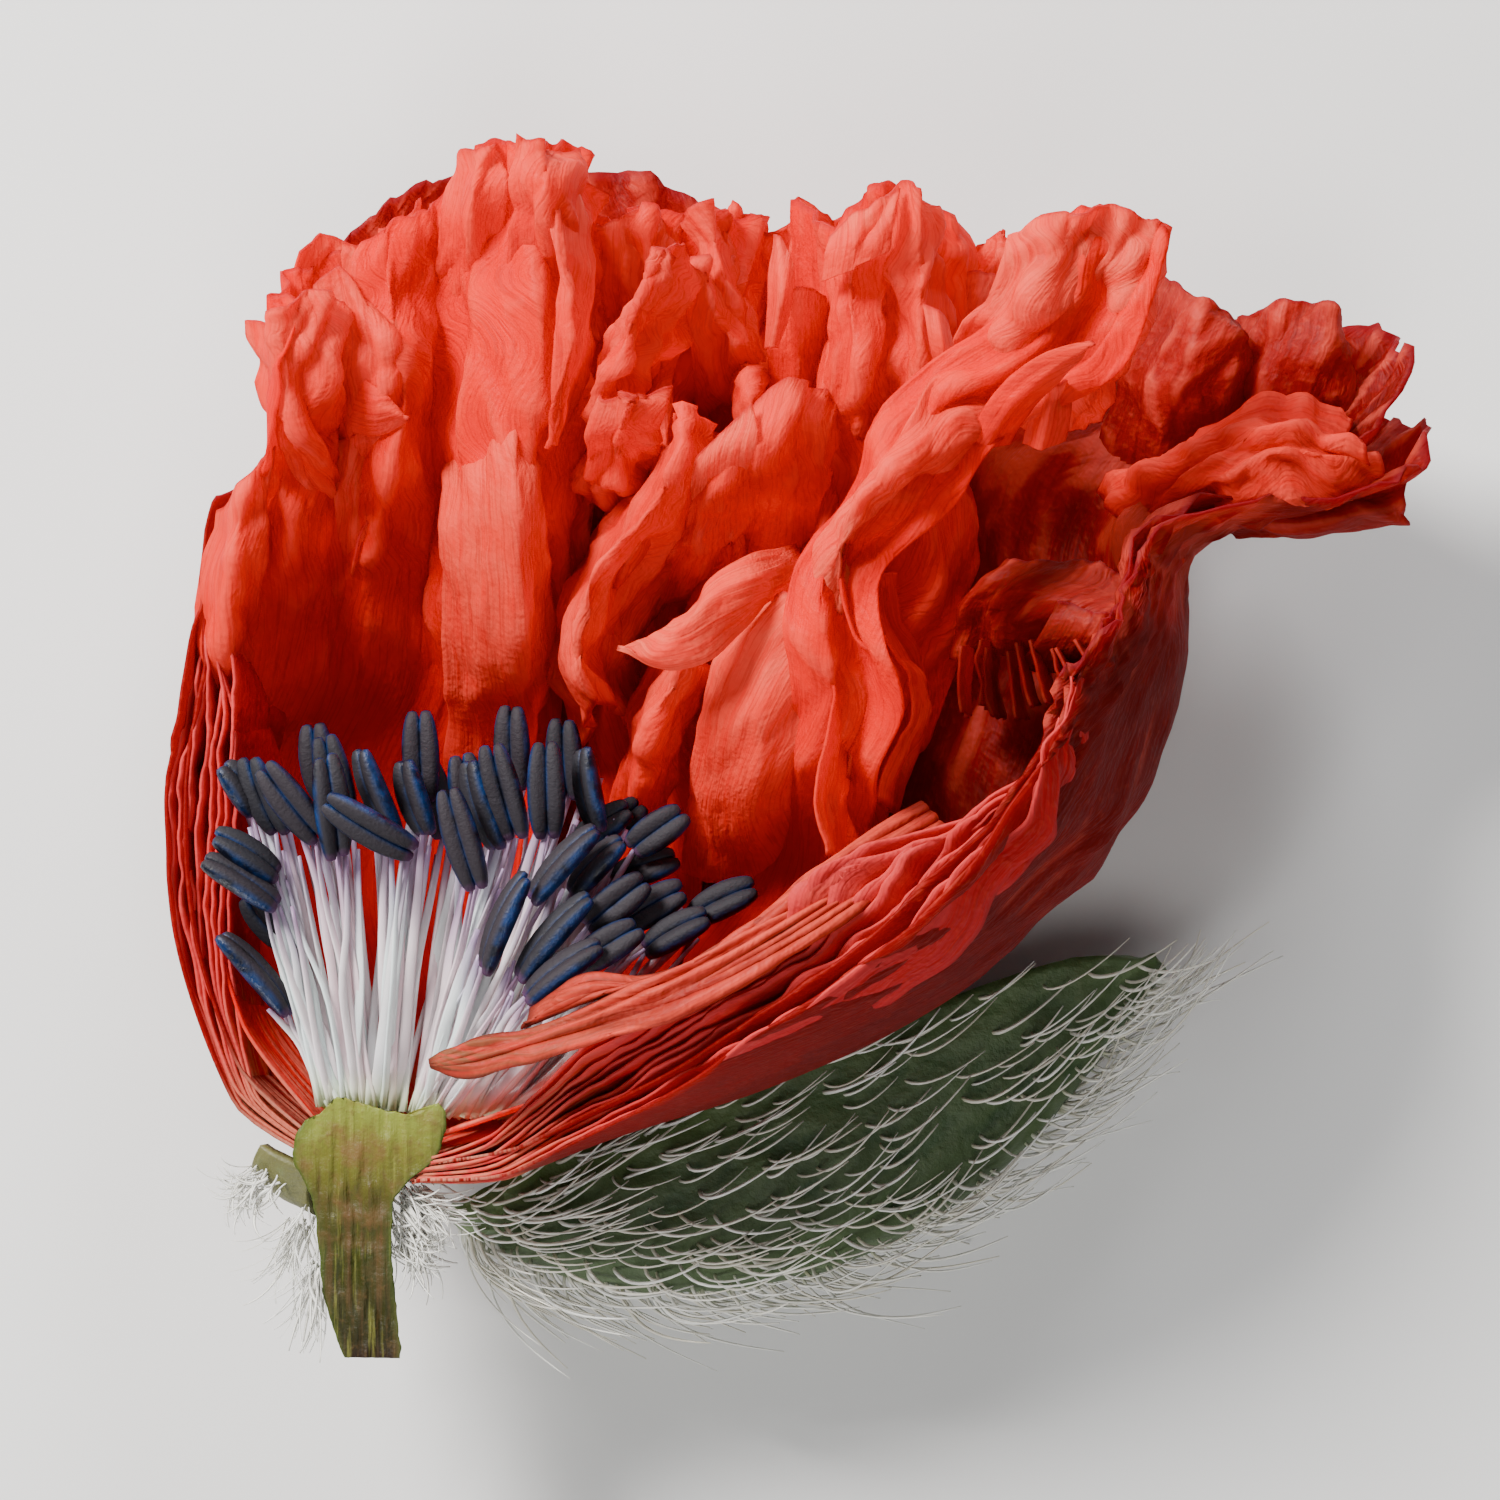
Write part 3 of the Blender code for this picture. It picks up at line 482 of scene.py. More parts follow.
innerFolds = {
    "petal_inner_left": (2, (
        (0.00, ((-7.4, 22.0, .2), (-6.5, 29.0, .1), (-5.9, 33.0, .1), (-6.1, 37.0, .1), (-6.2, 41.4, .2))),
        (0.10, ((-5.0, 24.0, .6), (-4.8, 30.0, .6), (-4.2, 34.0, .8), (-4.0, 37.5, 1), (-4.0, 43.9, .9))),
        (0.17, ((-3.0, 24.0, .1), (-2.8, 30.0, .3), (-2.2, 34.0, .4), (-1.9, 37.5, .4), (-1.8, 45.0, .5))),
        (0.23, ((-1.2, 24.0, .5), (-0.8, 29.0, .6), (0.4, 33.5, .9), (1.1, 37.5, 1), (0.2, 45.9, .9))),
        (0.30, ((1.5, 23.0, .2), (2.2, 29.0, .3), (2.5, 34.5, .4), (2.4, 40.5, .45), (2.4, 47.4, .5))),
        (0.36, ((3.2, 23.0, .4), (3.1, 29.0, .8), (3.8, 35.0, .9), (5.2, 40.5, .9), (5.1, 49.6, .9))),
        (0.44, ((6.0, 23.0, .5), (6.2, 29.0, .9), (7.5, 34.5, .95), (8.2, 40.5, 1), (7.0, 50.2, 1))),
        (0.49, ((8.0, 23.0, .1), (8.6, 29.0, .4), (9.8, 34.5, .5), (10.6, 41.0, .5), (10.2, 49.8, .7))),
        (0.52, ((9.0, 23.0, 0), (9.9, 28.5, 0), (10.6, 34.5, 0), (11.2, 41.0, 0), (10.8, 47.0, .2))),
    )),
    "petal_inner_middle": (2, (
        (0.55, ((10.2, 22.0, .1), (11.1, 27.0, .1), (11.8, 34.5, .1), (12.3, 41.0, .1), (11.9, 47.2, .3))),
        (0.58, ((11.2, 21.0, .5), (11.8, 27.0, .8), (14.4, 33.0, .9), (13.8, 40.0, .7), (13.0, 47.4, .6))),
        (0.62, ((13.0, 21.0, .1), (13.5, 26.0, .2), (16.0, 32.0, .3), (15.8, 40.0, .2), (15.0, 46.3, .4))),
        (0.66, ((14.2, 21.5, .5), (15.5, 25.5, .6), (18.6, 35.0, .9), (17.8, 41.0, .6), (17.2, 47.0, .7))),
        (0.70, ((16.2, 21.0, .1), (17.6, 25.0, .2), (20.0, 33.0, .3), (19.2, 41.0, .1), (18.7, 46.4, .3))),
    )),
    "petal_inner_right": (2, (
        (0.73, ((17.8, 20.0, .3), (19.0, 24.5, .3), (21.2, 33.0, .4), (20.8, 40.5, .3), (20.2, 47.0, .5))),
        (0.77, ((19.5, 19.5, .7), (20.5, 24.5, .8), (22.6, 33.0, .8), (22.6, 39.5, .9), (22.9, 45.8, .9))),
        (0.82, ((21.0, 19.0, .5), (22.5, 24.5, .4), (25.2, 32.0, .7), (25.0, 39.5, .8), (25.5, 47.4, 1))),
        (0.86, ((22.8, 17.5, .6), (24.8, 22.5, .3), (27.6, 30.5, .4), (27.9, 38.0, .6), (28.0, 47.0, .8))),
        (0.91, ((25.5, 15.5, .3), (27.8, 20.5, 0), (30.0, 28.0, 0), (30.2, 36.0, 0), (29.2, 43.6, .2))),
    )),
    "petal_front_right": (3, (
        (0.80, ((15.5, 9.5, .3), (19.2, 15.5, .4), (20.6, 22.0, .5), (20.6, 28.0, .6), (24.0, 34.5, .6),
                (27.5, 38.5, .6), (33.0, 45.6, .4))),
        (0.87, ((17.2, 9.1, .5), (21.0, 15.2, .9), (22.4, 21.8, .9), (22.0, 27.8, .9), (25.8, 33.3, 1),
                (30.2, 37.8, 1), (35.2, 46.0, .9))),
        (0.93, ((18.8, 8.4, .3), (22.8, 14.8, .4), (24.2, 21.5, .4), (23.2, 27.8, .5), (27.5, 32.8, .7),
                (32.7, 37.3, .6), (37.2, 45.4, .5))),
        (0.99, ((20.4, 7.8, .5), (24.5, 14.5, .8), (26.0, 21.2, .8), (24.6, 27.8, .8), (29.2, 32.4, .9),
                (35.2, 37.0, .8), (39.0, 44.6, .7))),
    )),
}


def petalBase(layer, turn):
    first, byLayer, byTurn = bud["petalBase"]
    return first + byLayer * layer + byTurn * turn


def betweenFolds(lines, steps, seed):  # rows of fold lines with steps put in between; the last value, stand, eases
    lines = np.asarray(lines, float)
    count, rows = lines.shape[:2]
    v = np.linspace(0, 1, rows)
    which = np.arange(count)[:, None] * 3.7
    opened = smooth(v, 0.2, 0.5)[None, :]
    lines = lines.copy()
    lines[..., 1] += petals["sway"] * softNoise(v[None, :] * 7.0, which, seed) * opened
    lines[..., 2] += petals["wander"] * softNoise(v[None, :] * 6.0, which, seed + 1) * opened
    u = np.linspace(0, count - 1, (count - 1) * steps + 1)
    i = np.minimum(u.astype(int), count - 2)
    t = (u - i)[:, None, None]
    ease = t * t * (3 - 2 * t)
    ease = ease + (t - ease) * petals["foldSharpness"]
    mixed = lines[i] * (1 - t) + lines[i + 1] * t
    mixed[..., -1:] = (lines[i] * (1 - ease) + lines[i + 1] * ease)[..., -1:]
    return mixed.transpose(1, 0, 2)


def gathered(grid):  # the foot drawn in to the receptacle
    draw = petals["gather"] * (1.0 - smooth(np.linspace(0, 1, grid.shape[0]), 0.0, petals["gatherEnds"]))[:, None, None]
    return grid + (np.array(petals["gatherPoint"]) - grid) * draw


def outerSheet(folds, layer, seed):
    v = np.linspace(0, 1, petals["outerRows"])
    lines = []
    for baseTurn, edgeTurn, stand, end in folds:
        base = petalBase(layer, baseTurn)
        along = base + (end - base) * v
        turn = baseTurn + (edgeTurn - baseTurn) * smooth(along, 10.0, 40.0)
        lines.append(np.stack([along, turn, np.full_like(v, stand)], -1))
    grid = betweenFolds(lines, petals["outerStepsPerFold"], seed)
    return budPlace(grid[..., 0], grid[..., 1], layer, np.clip(grid[..., 2], 0, 1.2))


def innerSheet(folds, layer, seed):
    v = np.linspace(0, 1, petals["rows"])
    lines = []
    for baseTurn, places in folds:
        right, up, stand = np.array(places, float).T
        along, turn = findTurn(right, up, lambda a, t, d: budPlace(a, t, layer, d), stand)
        root = (petalBase(layer, baseTurn), baseTurn, stand[0])
        second = (min(9.0, 0.55 * along[0]), 0.5 * (baseTurn + turn[0]), stand[0])
        line = spline([root, second, *zip(along, turn, stand)], np.linspace(0, 1, 200))
        travel = np.cumsum(np.hypot(np.diff(line[:, 0]), 30.0 * np.diff(line[:, 1])))
        travel = np.concatenate([[0.0], travel / travel[-1]])
        lines.append(np.stack([np.interp(v, travel, line[:, k]) for k in range(3)], -1))
    grid = betweenFolds(lines, petals["stepsPerFold"], seed)
    return budPlace(grid[..., 0], grid[..., 1], layer, np.clip(grid[..., 2], 0, 1.05))


def petalMaterial(name, lit, deep, edgeColour, glow, foot=(0.72, 0.30, 0.20)):
    r = Recipe(name)
    where = r.uv("petalMap")
    fine, broad, footShare, edge, pale = (r.attribute(n) for n in ("fine", "broad", "foot", "edge", "pale"))
    veins = r.noise(r.stretched(where, 24.0, 1.2), 1.0, 2.0, 0.62, "2D")
    threads = r.noise(r.stretched(where, 75.0, 3.0), 1.0, 0.0, 0.6, "2D")
    tissue = r.noise(where, 22.0, 1.0, 0.65, "2D")
    mottle = r.noise(where, 7.0, 1.0, 0.6, "2D")
    # Painted light and shade: raised folds take the lit colour and hollows the deep colour, as light and shade would
    # fall on them
    ridgeLitShare = r.between(broad + fine * 1.5 + (mottle - 0.5) * 0.3, -0.35, 0.5)
    colour = r.mix(ridgeLitShare, deep, lit)
    # Painted highlight: the pale salmon stands for light falling on the petal's sheen
    colour = r.mix(pale * (0.35 + mottle * 0.8), colour, (0.97, 0.20, 0.115))
    colour = r.mix(r.between(veins, 0.50, 0.68) * 0.5, colour, deep)
    colour = r.mix(r.between(threads, 0.56, 0.70) * 0.35, colour, (0.36, 0.004, 0.004))
    colour = r.mix(r.between(tissue, 0.55, 0.75) * 0.12, colour, (0.94, 0.11, 0.06))
    # Painted highlight along the fine ridges
    colour = r.mix(r.between(fine, 0.035, 0.14) * 0.30, colour, (0.94, 0.13, 0.08))
    colour = r.mix(footShare * r.between(veins, 0.38, 0.58), colour, foot)
    colour = r.mix(edge, colour, edgeColour)
    rough = 0.42 + mottle * 0.25
    wrinkle = veins * 0.32 + tissue * 0.26
    normal = r.bump(wrinkle, 0.00030, 0.9)
    skin = r.add("ShaderNodeBsdfPrincipled", None, {
        "Base Color": colour, "Roughness": rough, "Normal": normal, "Specular IOR Level": 0.12})[0]
    through = r.add("ShaderNodeBsdfTranslucent", None, {"Color": (0.95, 0.03, 0.006, 1.0)})[0]
    return r.finish(r.add("ShaderNodeMixShader", None, {0: glow, 1: skin, 2: through})[0])


# Each material's lit and deep colours are painted light on raised folds and painted shade in the hollows
petalRed = petalMaterial("petalRed", (0.94, 0.016, 0.004), (0.86, 0.001, 0.001), (0.34, 0.008, 0.015), 0.52)
# A darker copy of the petal red: painted shade for the outer folds and far lobes, which lie in shadow
petalPaintedShade = petalMaterial("petalPaintedShade", (0.28, 0.004, 0.003), (0.13, 0.001, 0.001), (0.14, 0.005, 0.012), 0.36)
petalCrimson = petalMaterial("petalCrimson", (0.74, 0.014, 0.020), (0.36, 0.001, 0.004), (0.70, 0.075, 0.075), 0.30,
                             (0.55, 0.30, 0.14))


def petalNumbers(grid, edgeWidth=0.35, footEnd=9.0, pale=0.0):
    fine, broad = ridges(grid)
    along = arcs(grid)[1]
    toEdge = (along[-1:] - along) * 10.0
    fromFoot = along * 10.0
    edge = 1.0 - smooth(toEdge, 0.0, edgeWidth)
    foot = 1.0 - smooth(fromFoot, 1.0, footEnd)
    return {"fine": fine, "broad": broad, "edge": edge * 0.8, "foot": foot * 0.75, "pale": np.full_like(fine, pale)}


def pressDown(grid, layer):  # flat where the petal, or the layers under it, lies on the surface
    grid = grid.copy()
    lowest = bud["solidThick"] / 2 + layer * bud["layerStep"] - bud["axisHeight"]
    grid[..., 2] = np.maximum(grid[..., 2], lowest)
    return grid


seed = 11
# The outer folds take the painted shade copy
petalTables = ((outerFolds, outerSheet, 0.45, petalPaintedShade), (innerFolds, innerSheet, 0.8, petalRed))
for table, layOut, strength, skin in petalTables:
    for node, (layer, folds) in table.items():
        seed += 20
        grid = gathered(crumple(leaned(layOut(folds, layer, seed)), seed, strength))
        pressed = pressDown(grid, layer)
        sheet = makeSheet(node + "_crumpled", pressed, petals["thickness"], skin, petalNumbers(grid))
        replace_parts(sheet, node)
print("petals made")

# Lobes of the petals that overlap in the open side
# For each petal: name, paleness (a painted highlight, paler salmon where light falls), crumpling, unevenness of the
# edge, and lines of (right, up, share of the depth)
lobes = {
    ("left", "petal_inner_left"): (
        ("round", 0.15, 1.30, 0.25, (
            ((-2.0, 32.0, 0.44), (-2.4, 35.8, 0.62), (-3.0, 39.5, 0.74), (-3.5, 42.9, 0.72)),
            ((-1.1, 32.5, 0.56), (-1.5, 36.2, 0.78), (-1.5, 39.8, 0.82), (-2.2, 43.9, 0.78)),
            ((-0.2, 33.5, 0.52), (0.1, 36.8, 0.80), (0.2, 40.0, 0.86), (-1.1, 42.6, 0.82)),
            ((0.4, 34.5, 0.42), (1.6, 37.6, 0.68), (1.1, 39.8, 0.72), (0.3, 41.2, 0.70)),
        )),
        ("flap", 0.15, 0.80, 0.20, (
            ((-2.2, 35.6, 0.70), (-0.4, 35.4, 0.76), (1.2, 36.0, 0.80)),
            ((-1.8, 37.3, 0.82), (-0.3, 36.8, 0.89), (1.4, 36.1, 0.84)),
            ((-1.5, 38.7, 0.82), (-0.1, 37.5, 0.86), (1.3, 36.3, 0.81)),
        )),
        ("panel", 0.12, 1.20, 0.20, (
            ((-3.1, 26.0, 0.12), (-2.9, 31.5, 0.40), (-2.5, 35.2, 0.62)),
            ((-1.6, 26.0, 0.16), (-1.4, 32.0, 0.56), (-1.2, 35.5, 0.72)),
            ((0.4, 27.0, 0.12), (0.6, 32.5, 0.42), (0.3, 35.7, 0.58)),
        )),
        ("topLobe", 0.15, 1.20, 0.35, (
            ((-4.5, 40.0, 0.34), (-4.8, 42.0, 0.46), (-4.2, 44.6, 0.52)),
            ((-3.0, 40.0, 0.42), (-3.0, 42.5, 0.60), (-3.1, 45.5, 0.62)),
            ((-1.3, 40.0, 0.36), (-1.4, 42.5, 0.54), (-1.3, 45.1, 0.56)),
            ((0.2, 40.0, 0.26), (0.0, 42.2, 0.42), (-0.1, 44.9, 0.46)),
        )),
        ("tall", 0.00, 1.00, 0.80, (
            ((-0.3, 35.5, 0.26), (-0.3, 40.5, 0.46), (-0.1, 46.3, 0.50)),
            ((0.7, 35.5, 0.36), (0.8, 40.5, 0.60), (0.9, 46.4, 0.62)),
            ((1.7, 36.0, 0.26), (1.4, 40.5, 0.48), (1.6, 45.4, 0.54), (1.6, 47.8, 0.54)),
        )),
        ("fleck", 0.12, 1.00, 0.40, (
            ((-2.1, 25.0, 0.12), (-1.9, 27.0, 0.30), (-1.5, 29.2, 0.52)),
            ((-1.0, 25.0, 0.16), (-0.8, 27.5, 0.40), (-0.4, 31.4, 0.60)),
            ((0.2, 25.0, 0.10), (0.2, 27.0, 0.26), (0.1, 29.5, 0.44)),
        )),
    ),
    ("main", "petal_inner_left"): (
        ("summitLeft", 0.06, 1.20, 1.00, (
            ((2.5, 40.5, 0.40), (2.7, 45.0, 0.62), (3.3, 49.3, 0.68)),
            ((4.1, 40.5, 0.50), (4.5, 46.2, 0.84), (4.7, 49.6, 0.82)),
            ((6.0, 40.5, 0.44), (6.1, 46.5, 0.74), (6.1, 49.9, 0.76)),
        )),
        ("summitRight", 0.12, 1.40, 1.00, (
            ((6.4, 40.5, 0.60), (6.5, 46.5, 0.86), (7.1, 50.2, 0.90)),
            ((8.3, 40.5, 0.62), (8.4, 47.0, 0.93), (8.4, 50.0, 0.90)),
            ((10.4, 40.5, 0.44), (10.5, 46.8, 0.72), (10.4, 49.6, 0.72)),
        )),
        ("margin", 0.22, 1.20, 0.70, (
            ((8.0, 34.5, 0.80), (8.6, 37.8, 0.86), (8.8, 40.5, 0.88),
             (8.6, 43.9, 0.90), (8.2, 46.8, 0.88), (7.4, 48.9, 0.86)),
            ((8.6, 34.7, 0.82), (9.3, 37.8, 0.87), (9.7, 40.5, 0.89),
             (9.3, 43.9, 0.91), (9.0, 46.8, 0.89), (8.1, 49.1, 0.87)),
            ((9.0, 35.0, 0.62), (10.1, 38.0, 0.66), (10.5, 40.5, 0.70),
             (10.3, 43.9, 0.72), (9.8, 46.8, 0.72), (8.8, 49.0, 0.72)),
        )),
        ("salmon", 0.42, 0.50, 0.05, (
            ((2.6, 17.0, 0.08), (2.9, 20.2, 0.20), (3.0, 25.0, 0.50), (2.8, 32.0, 0.68), (3.5, 34.6, 0.36)),
            ((4.4, 17.0, 0.10), (4.7, 20.2, 0.28), (4.8, 25.0, 0.62), (4.7, 33.0, 0.80), (5.1, 36.4, 0.44)),
            ((6.6, 17.0, 0.10), (6.8, 20.2, 0.26), (7.1, 25.0, 0.64), (6.8, 34.5, 0.84), (6.5, 38.6, 0.46)),
            ((8.8, 17.5, 0.08), (8.0, 20.8, 0.16), (8.6, 25.5, 0.44), (8.1, 32.5, 0.74), (8.2, 36.0, 0.40)),
        )),
    ),
    ("centre", "petal_inner_middle"): (
        ("backLeft", 0.15, 1.20, 0.80, (
            ((11.2, 39.5, 0.34), (11.0, 43.5, 0.46), (10.8, 46.4, 0.50)),
            ((13.1, 39.5, 0.40), (13.1, 44.0, 0.56), (13.0, 47.1, 0.56)),
            ((15.3, 39.5, 0.38), (15.2, 43.5, 0.50), (15.1, 45.8, 0.50)),
        )),
        ("crest", 0.06, 2.00, 1.00, (
            ((9.7, 32.0, 0.44), (10.2, 36.8, 0.68), (11.0, 39.9, 0.80), (13.1, 43.9, 0.86)),
            ((11.0, 32.0, 0.50), (11.6, 37.0, 0.80), (12.6, 40.5, 0.90), (14.1, 44.8, 0.93)),
            ((13.0, 32.5, 0.50), (13.1, 37.0, 0.70), (13.6, 40.5, 0.78), (15.4, 44.3, 0.86)),
            ((14.4, 33.0, 0.42), (14.7, 37.0, 0.56), (15.1, 40.5, 0.62), (15.7, 42.5, 0.68)),
        )),
        ("knob", 0.12, 1.60, 1.00, (
            ((10.4, 32.4, 0.56), (10.5, 34.9, 0.80), (11.2, 37.1, 0.86)),
            ((12.1, 32.5, 0.62), (12.1, 34.9, 0.90), (12.4, 37.2, 0.94)),
            ((14.0, 33.2, 0.56), (14.1, 35.5, 0.80), (14.4, 37.4, 0.82)),
        )),
        ("ridge", 0.12, 0.90, 0.10, (
            ((13.0, 35.5, 0.36), (12.4, 33.5, 0.36), (10.6, 31.1, 0.36), (9.3, 28.7, 0.32),
             (8.5, 25.8, 0.30), (8.7, 22.4, 0.28), (9.9, 19.2, 0.24)),
            ((15.3, 36.5, 0.86), (15.1, 34.4, 0.90), (13.7, 31.9, 0.88), (12.2, 30.1, 0.86),
             (10.6, 28.1, 0.85), (9.8, 24.8, 0.82), (10.7, 22.0, 0.72)),
            ((16.0, 36.1, 0.74), (15.8, 33.9, 0.78), (14.8, 31.3, 0.75), (13.3, 29.5, 0.72),
             (11.8, 27.5, 0.68), (11.0, 24.5, 0.62), (11.7, 21.4, 0.52)),
            ((17.1, 35.2, 0.50), (16.8, 32.9, 0.56), (16.1, 30.2, 0.52), (15.0, 28.4, 0.46),
             (13.4, 26.0, 0.42), (12.4, 23.2, 0.36), (12.7, 20.3, 0.30)),
        )),
        ("hanging", 0.00, 0.80, 0.20, (
            ((12.6, 26.7, 0.40), (14.1, 28.9, 0.58), (15.5, 32.4, 0.74), (15.8, 33.9, 0.82)),
            ((16.1, 27.2, 0.46), (16.8, 29.8, 0.66), (17.4, 33.1, 0.85), (17.6, 35.5, 0.88)),
            ((18.6, 28.2, 0.46), (18.8, 31.0, 0.68), (18.9, 34.2, 0.91), (18.6, 36.5, 0.91)),
            ((20.7, 28.7, 0.46), (20.6, 31.5, 0.70), (20.8, 35.0, 0.87), (20.3, 37.7, 0.87)),
            ((23.1, 29.5, 0.40), (23.0, 32.0, 0.58), (22.9, 34.5, 0.68), (22.6, 37.1, 0.70)),
        )),
        ("facet", 0.55, 0.30, 0.10, (
            ((15.1, 30.5, 0.60), (15.5, 32.4, 0.80), (15.8, 33.9, 0.87)),
            ((17.4, 31.4, 0.70), (17.1, 33.8, 0.89), (17.1, 35.1, 0.92)),
            ((19.5, 32.0, 0.66), (19.0, 34.4, 0.92), (18.6, 36.5, 0.94)),
        )),
        ("slender", 0.10, 1.20, 0.80, (
            ((16.3, 35.5, 0.36), (15.6, 39.0, 0.54), (15.5, 42.0, 0.66), (15.8, 43.9, 0.72)),
            ((18.6, 36.4, 0.48), (17.8, 39.4, 0.66), (16.8, 41.5, 0.74), (16.1, 43.9, 0.76)),
            ((19.6, 36.5, 0.36), (19.1, 39.5, 0.48), (18.1, 42.0, 0.54), (17.3, 44.2, 0.58)),
        )),
        ("slenderBack", 0.12, 1.20, 0.80, (
            ((17.4, 37.0, 0.42), (17.1, 40.5, 0.56), (16.4, 43.5, 0.62), (15.8, 46.4, 0.64)),
            ((18.1, 37.0, 0.48), (17.9, 40.5, 0.62), (17.2, 43.5, 0.68), (16.2, 46.7, 0.68)),
            ((19.1, 37.0, 0.36), (18.8, 40.5, 0.48), (18.2, 43.5, 0.54), (17.3, 46.3, 0.56)),
        )),
        ("triangle", 0.00, 0.60, 0.30, (
            ((19.5, 36.0, 0.44), (19.5, 39.8, 0.60), (19.9, 41.6, 0.66)),
            ((21.0, 36.0, 0.50), (21.0, 40.0, 0.66), (20.8, 42.8, 0.72)),
            ((22.6, 36.0, 0.40), (22.6, 39.5, 0.52), (22.1, 42.0, 0.60)),
        )),
        ("triangleFlap", 0.35, 0.50, 0.20, (
            ((19.3, 39.5, 0.70), (19.4, 42.5, 0.76), (19.8, 45.2, 0.74)),
            ((19.6, 39.5, 0.76), (20.1, 42.5, 0.82), (19.9, 45.1, 0.77)),
            ((19.8, 39.6, 0.72), (20.7, 42.8, 0.78), (20.0, 45.0, 0.76)),
        )),
        ("backRuffle", 0.00, 1.40, 1.00, (
            ((15.3, 40.0, 0.20), (15.4, 43.5, 0.34), (15.8, 46.6, 0.40)),
            ((17.0, 40.0, 0.26), (17.1, 43.5, 0.44), (17.6, 46.9, 0.50)),
            ((19.0, 40.0, 0.18), (19.0, 43.5, 0.32), (19.1, 46.1, 0.40)),
            ((21.0, 40.0, 0.26), (21.0, 43.5, 0.46), (21.1, 47.1, 0.52)),
            ((23.0, 40.0, 0.18), (22.9, 43.5, 0.34), (22.7, 46.2, 0.42)),
            ((25.2, 40.0, 0.24), (24.8, 43.5, 0.42), (24.7, 46.5, 0.48)),
        )),
        ("tongue", 0.60, 0.45, 0.20, (
            ((21.0, 27.4, 0.58), (19.4, 26.8, 0.84), (17.9, 25.2, 0.93),
             (16.3, 23.9, 0.94), (14.1, 23.6, 0.93), (11.9, 24.4, 0.92)),
            ((21.1, 28.1, 0.64), (19.0, 27.2, 0.94), (16.8, 25.8, 1.00),
             (15.3, 24.8, 0.99), (13.6, 24.1, 0.96), (11.9, 24.6, 0.92)),
            ((21.0, 28.9, 0.66), (18.8, 28.0, 0.96), (16.6, 26.9, 1.02),
             (15.5, 25.8, 1.01), (14.1, 24.9, 0.97), (11.9, 24.6, 0.92)),
            ((20.7, 29.7, 0.60), (18.5, 29.1, 0.90), (16.6, 27.8, 0.96),
             (15.9, 26.7, 0.95), (14.4, 25.6, 0.94), (11.9, 24.6, 0.92)),
        )),
        ("lowFold", 0.15, 0.70, 0.20, (
            ((11.6, 14.0, 0.18), (11.9, 17.8, 0.36), (12.6, 21.8, 0.48), (14.4, 25.0, 0.58)),
            ((12.7, 13.6, 0.30), (12.8, 17.2, 0.56), (13.5, 21.0, 0.70), (15.4, 24.2, 0.76)),
            ((13.6, 13.4, 0.30), (13.6, 17.0, 0.52), (14.4, 20.5, 0.66), (16.1, 23.8, 0.70)),
            ((14.6, 13.2, 0.20), (14.5, 17.0, 0.36), (15.3, 20.5, 0.48), (16.9, 23.5, 0.52)),
        )),
    ),
    ("right", "petal_inner_right"): (
        ("tall", 0.06, 1.20, 0.60, (
            ((23.1, 32.5, 0.46), (22.4, 38.1, 0.74), (22.2, 42.5, 0.84), (22.4, 44.7, 0.86)),
            ((24.2, 32.2, 0.52), (23.8, 38.0, 0.80), (23.5, 42.5, 0.88), (24.1, 45.9, 0.90)),
            ((25.5, 32.8, 0.50), (25.4, 38.0, 0.72), (25.2, 42.5, 0.80), (25.9, 47.5, 0.88)),
            ((26.8, 33.5, 0.46), (26.9, 38.0, 0.76), (27.0, 42.5, 0.86), (26.9, 47.2, 0.90)),
            ((28.2, 35.0, 0.38), (28.2, 38.0, 0.62), (28.3, 42.5, 0.74), (27.9, 46.5, 0.78)),
        )),
        ("tallFold", 0.40, 0.90, 0.40, (
            ((22.2, 42.7, 0.88), (22.1, 43.9, 0.93), (22.4, 44.8, 0.92)),
            ((23.6, 43.1, 0.94), (23.7, 44.5, 0.97), (24.1, 46.0, 0.94)),
            ((25.3, 44.1, 0.92), (25.5, 45.5, 0.94), (25.9, 47.3, 0.91)),
        )),
        ("tallFlap", 0.25, 0.60, 0.20, (
            ((28.0, 36.8, 0.78), (27.4, 39.4, 0.84), (27.1, 41.5, 0.84)),
            ((28.4, 36.8, 0.80), (28.0, 39.2, 0.87), (27.7, 41.2, 0.86)),
            ((28.6, 36.9, 0.72), (28.5, 39.0, 0.78), (28.3, 40.7, 0.78)),
        )),
        ("backKnob", 0.10, 1.40, 1.00, (
            ((28.4, 40.0, 0.30), (28.4, 42.0, 0.42), (29.2, 43.9, 0.48)),
            ((30.3, 40.0, 0.38), (30.4, 42.8, 0.54), (31.1, 45.6, 0.56)),
            ((32.4, 40.0, 0.30), (32.4, 42.0, 0.46), (32.1, 44.6, 0.50)),
        )),
        ("backLobe", 0.20, 1.00, 0.80, (
            ((28.1, 36.0, 0.34), (28.3, 39.5, 0.52), (28.6, 42.8, 0.58)),
            ((29.9, 36.5, 0.40), (30.1, 40.0, 0.60), (30.0, 43.6, 0.62)),
            ((31.8, 37.0, 0.34), (31.9, 40.0, 0.52), (31.7, 42.4, 0.56)),
        )),
        ("lowPanel", 0.34, 0.40, 0.20, (
            ((15.2, 13.3, 0.20), (15.4, 17.0, 0.50), (16.0, 21.0, 0.70), (17.1, 24.5, 0.78), (19.6, 27.4, 0.82)),
            ((16.3, 12.8, 0.26), (16.7, 16.8, 0.60), (17.1, 20.8, 0.78), (17.9, 24.0, 0.84), (20.1, 27.2, 0.88)),
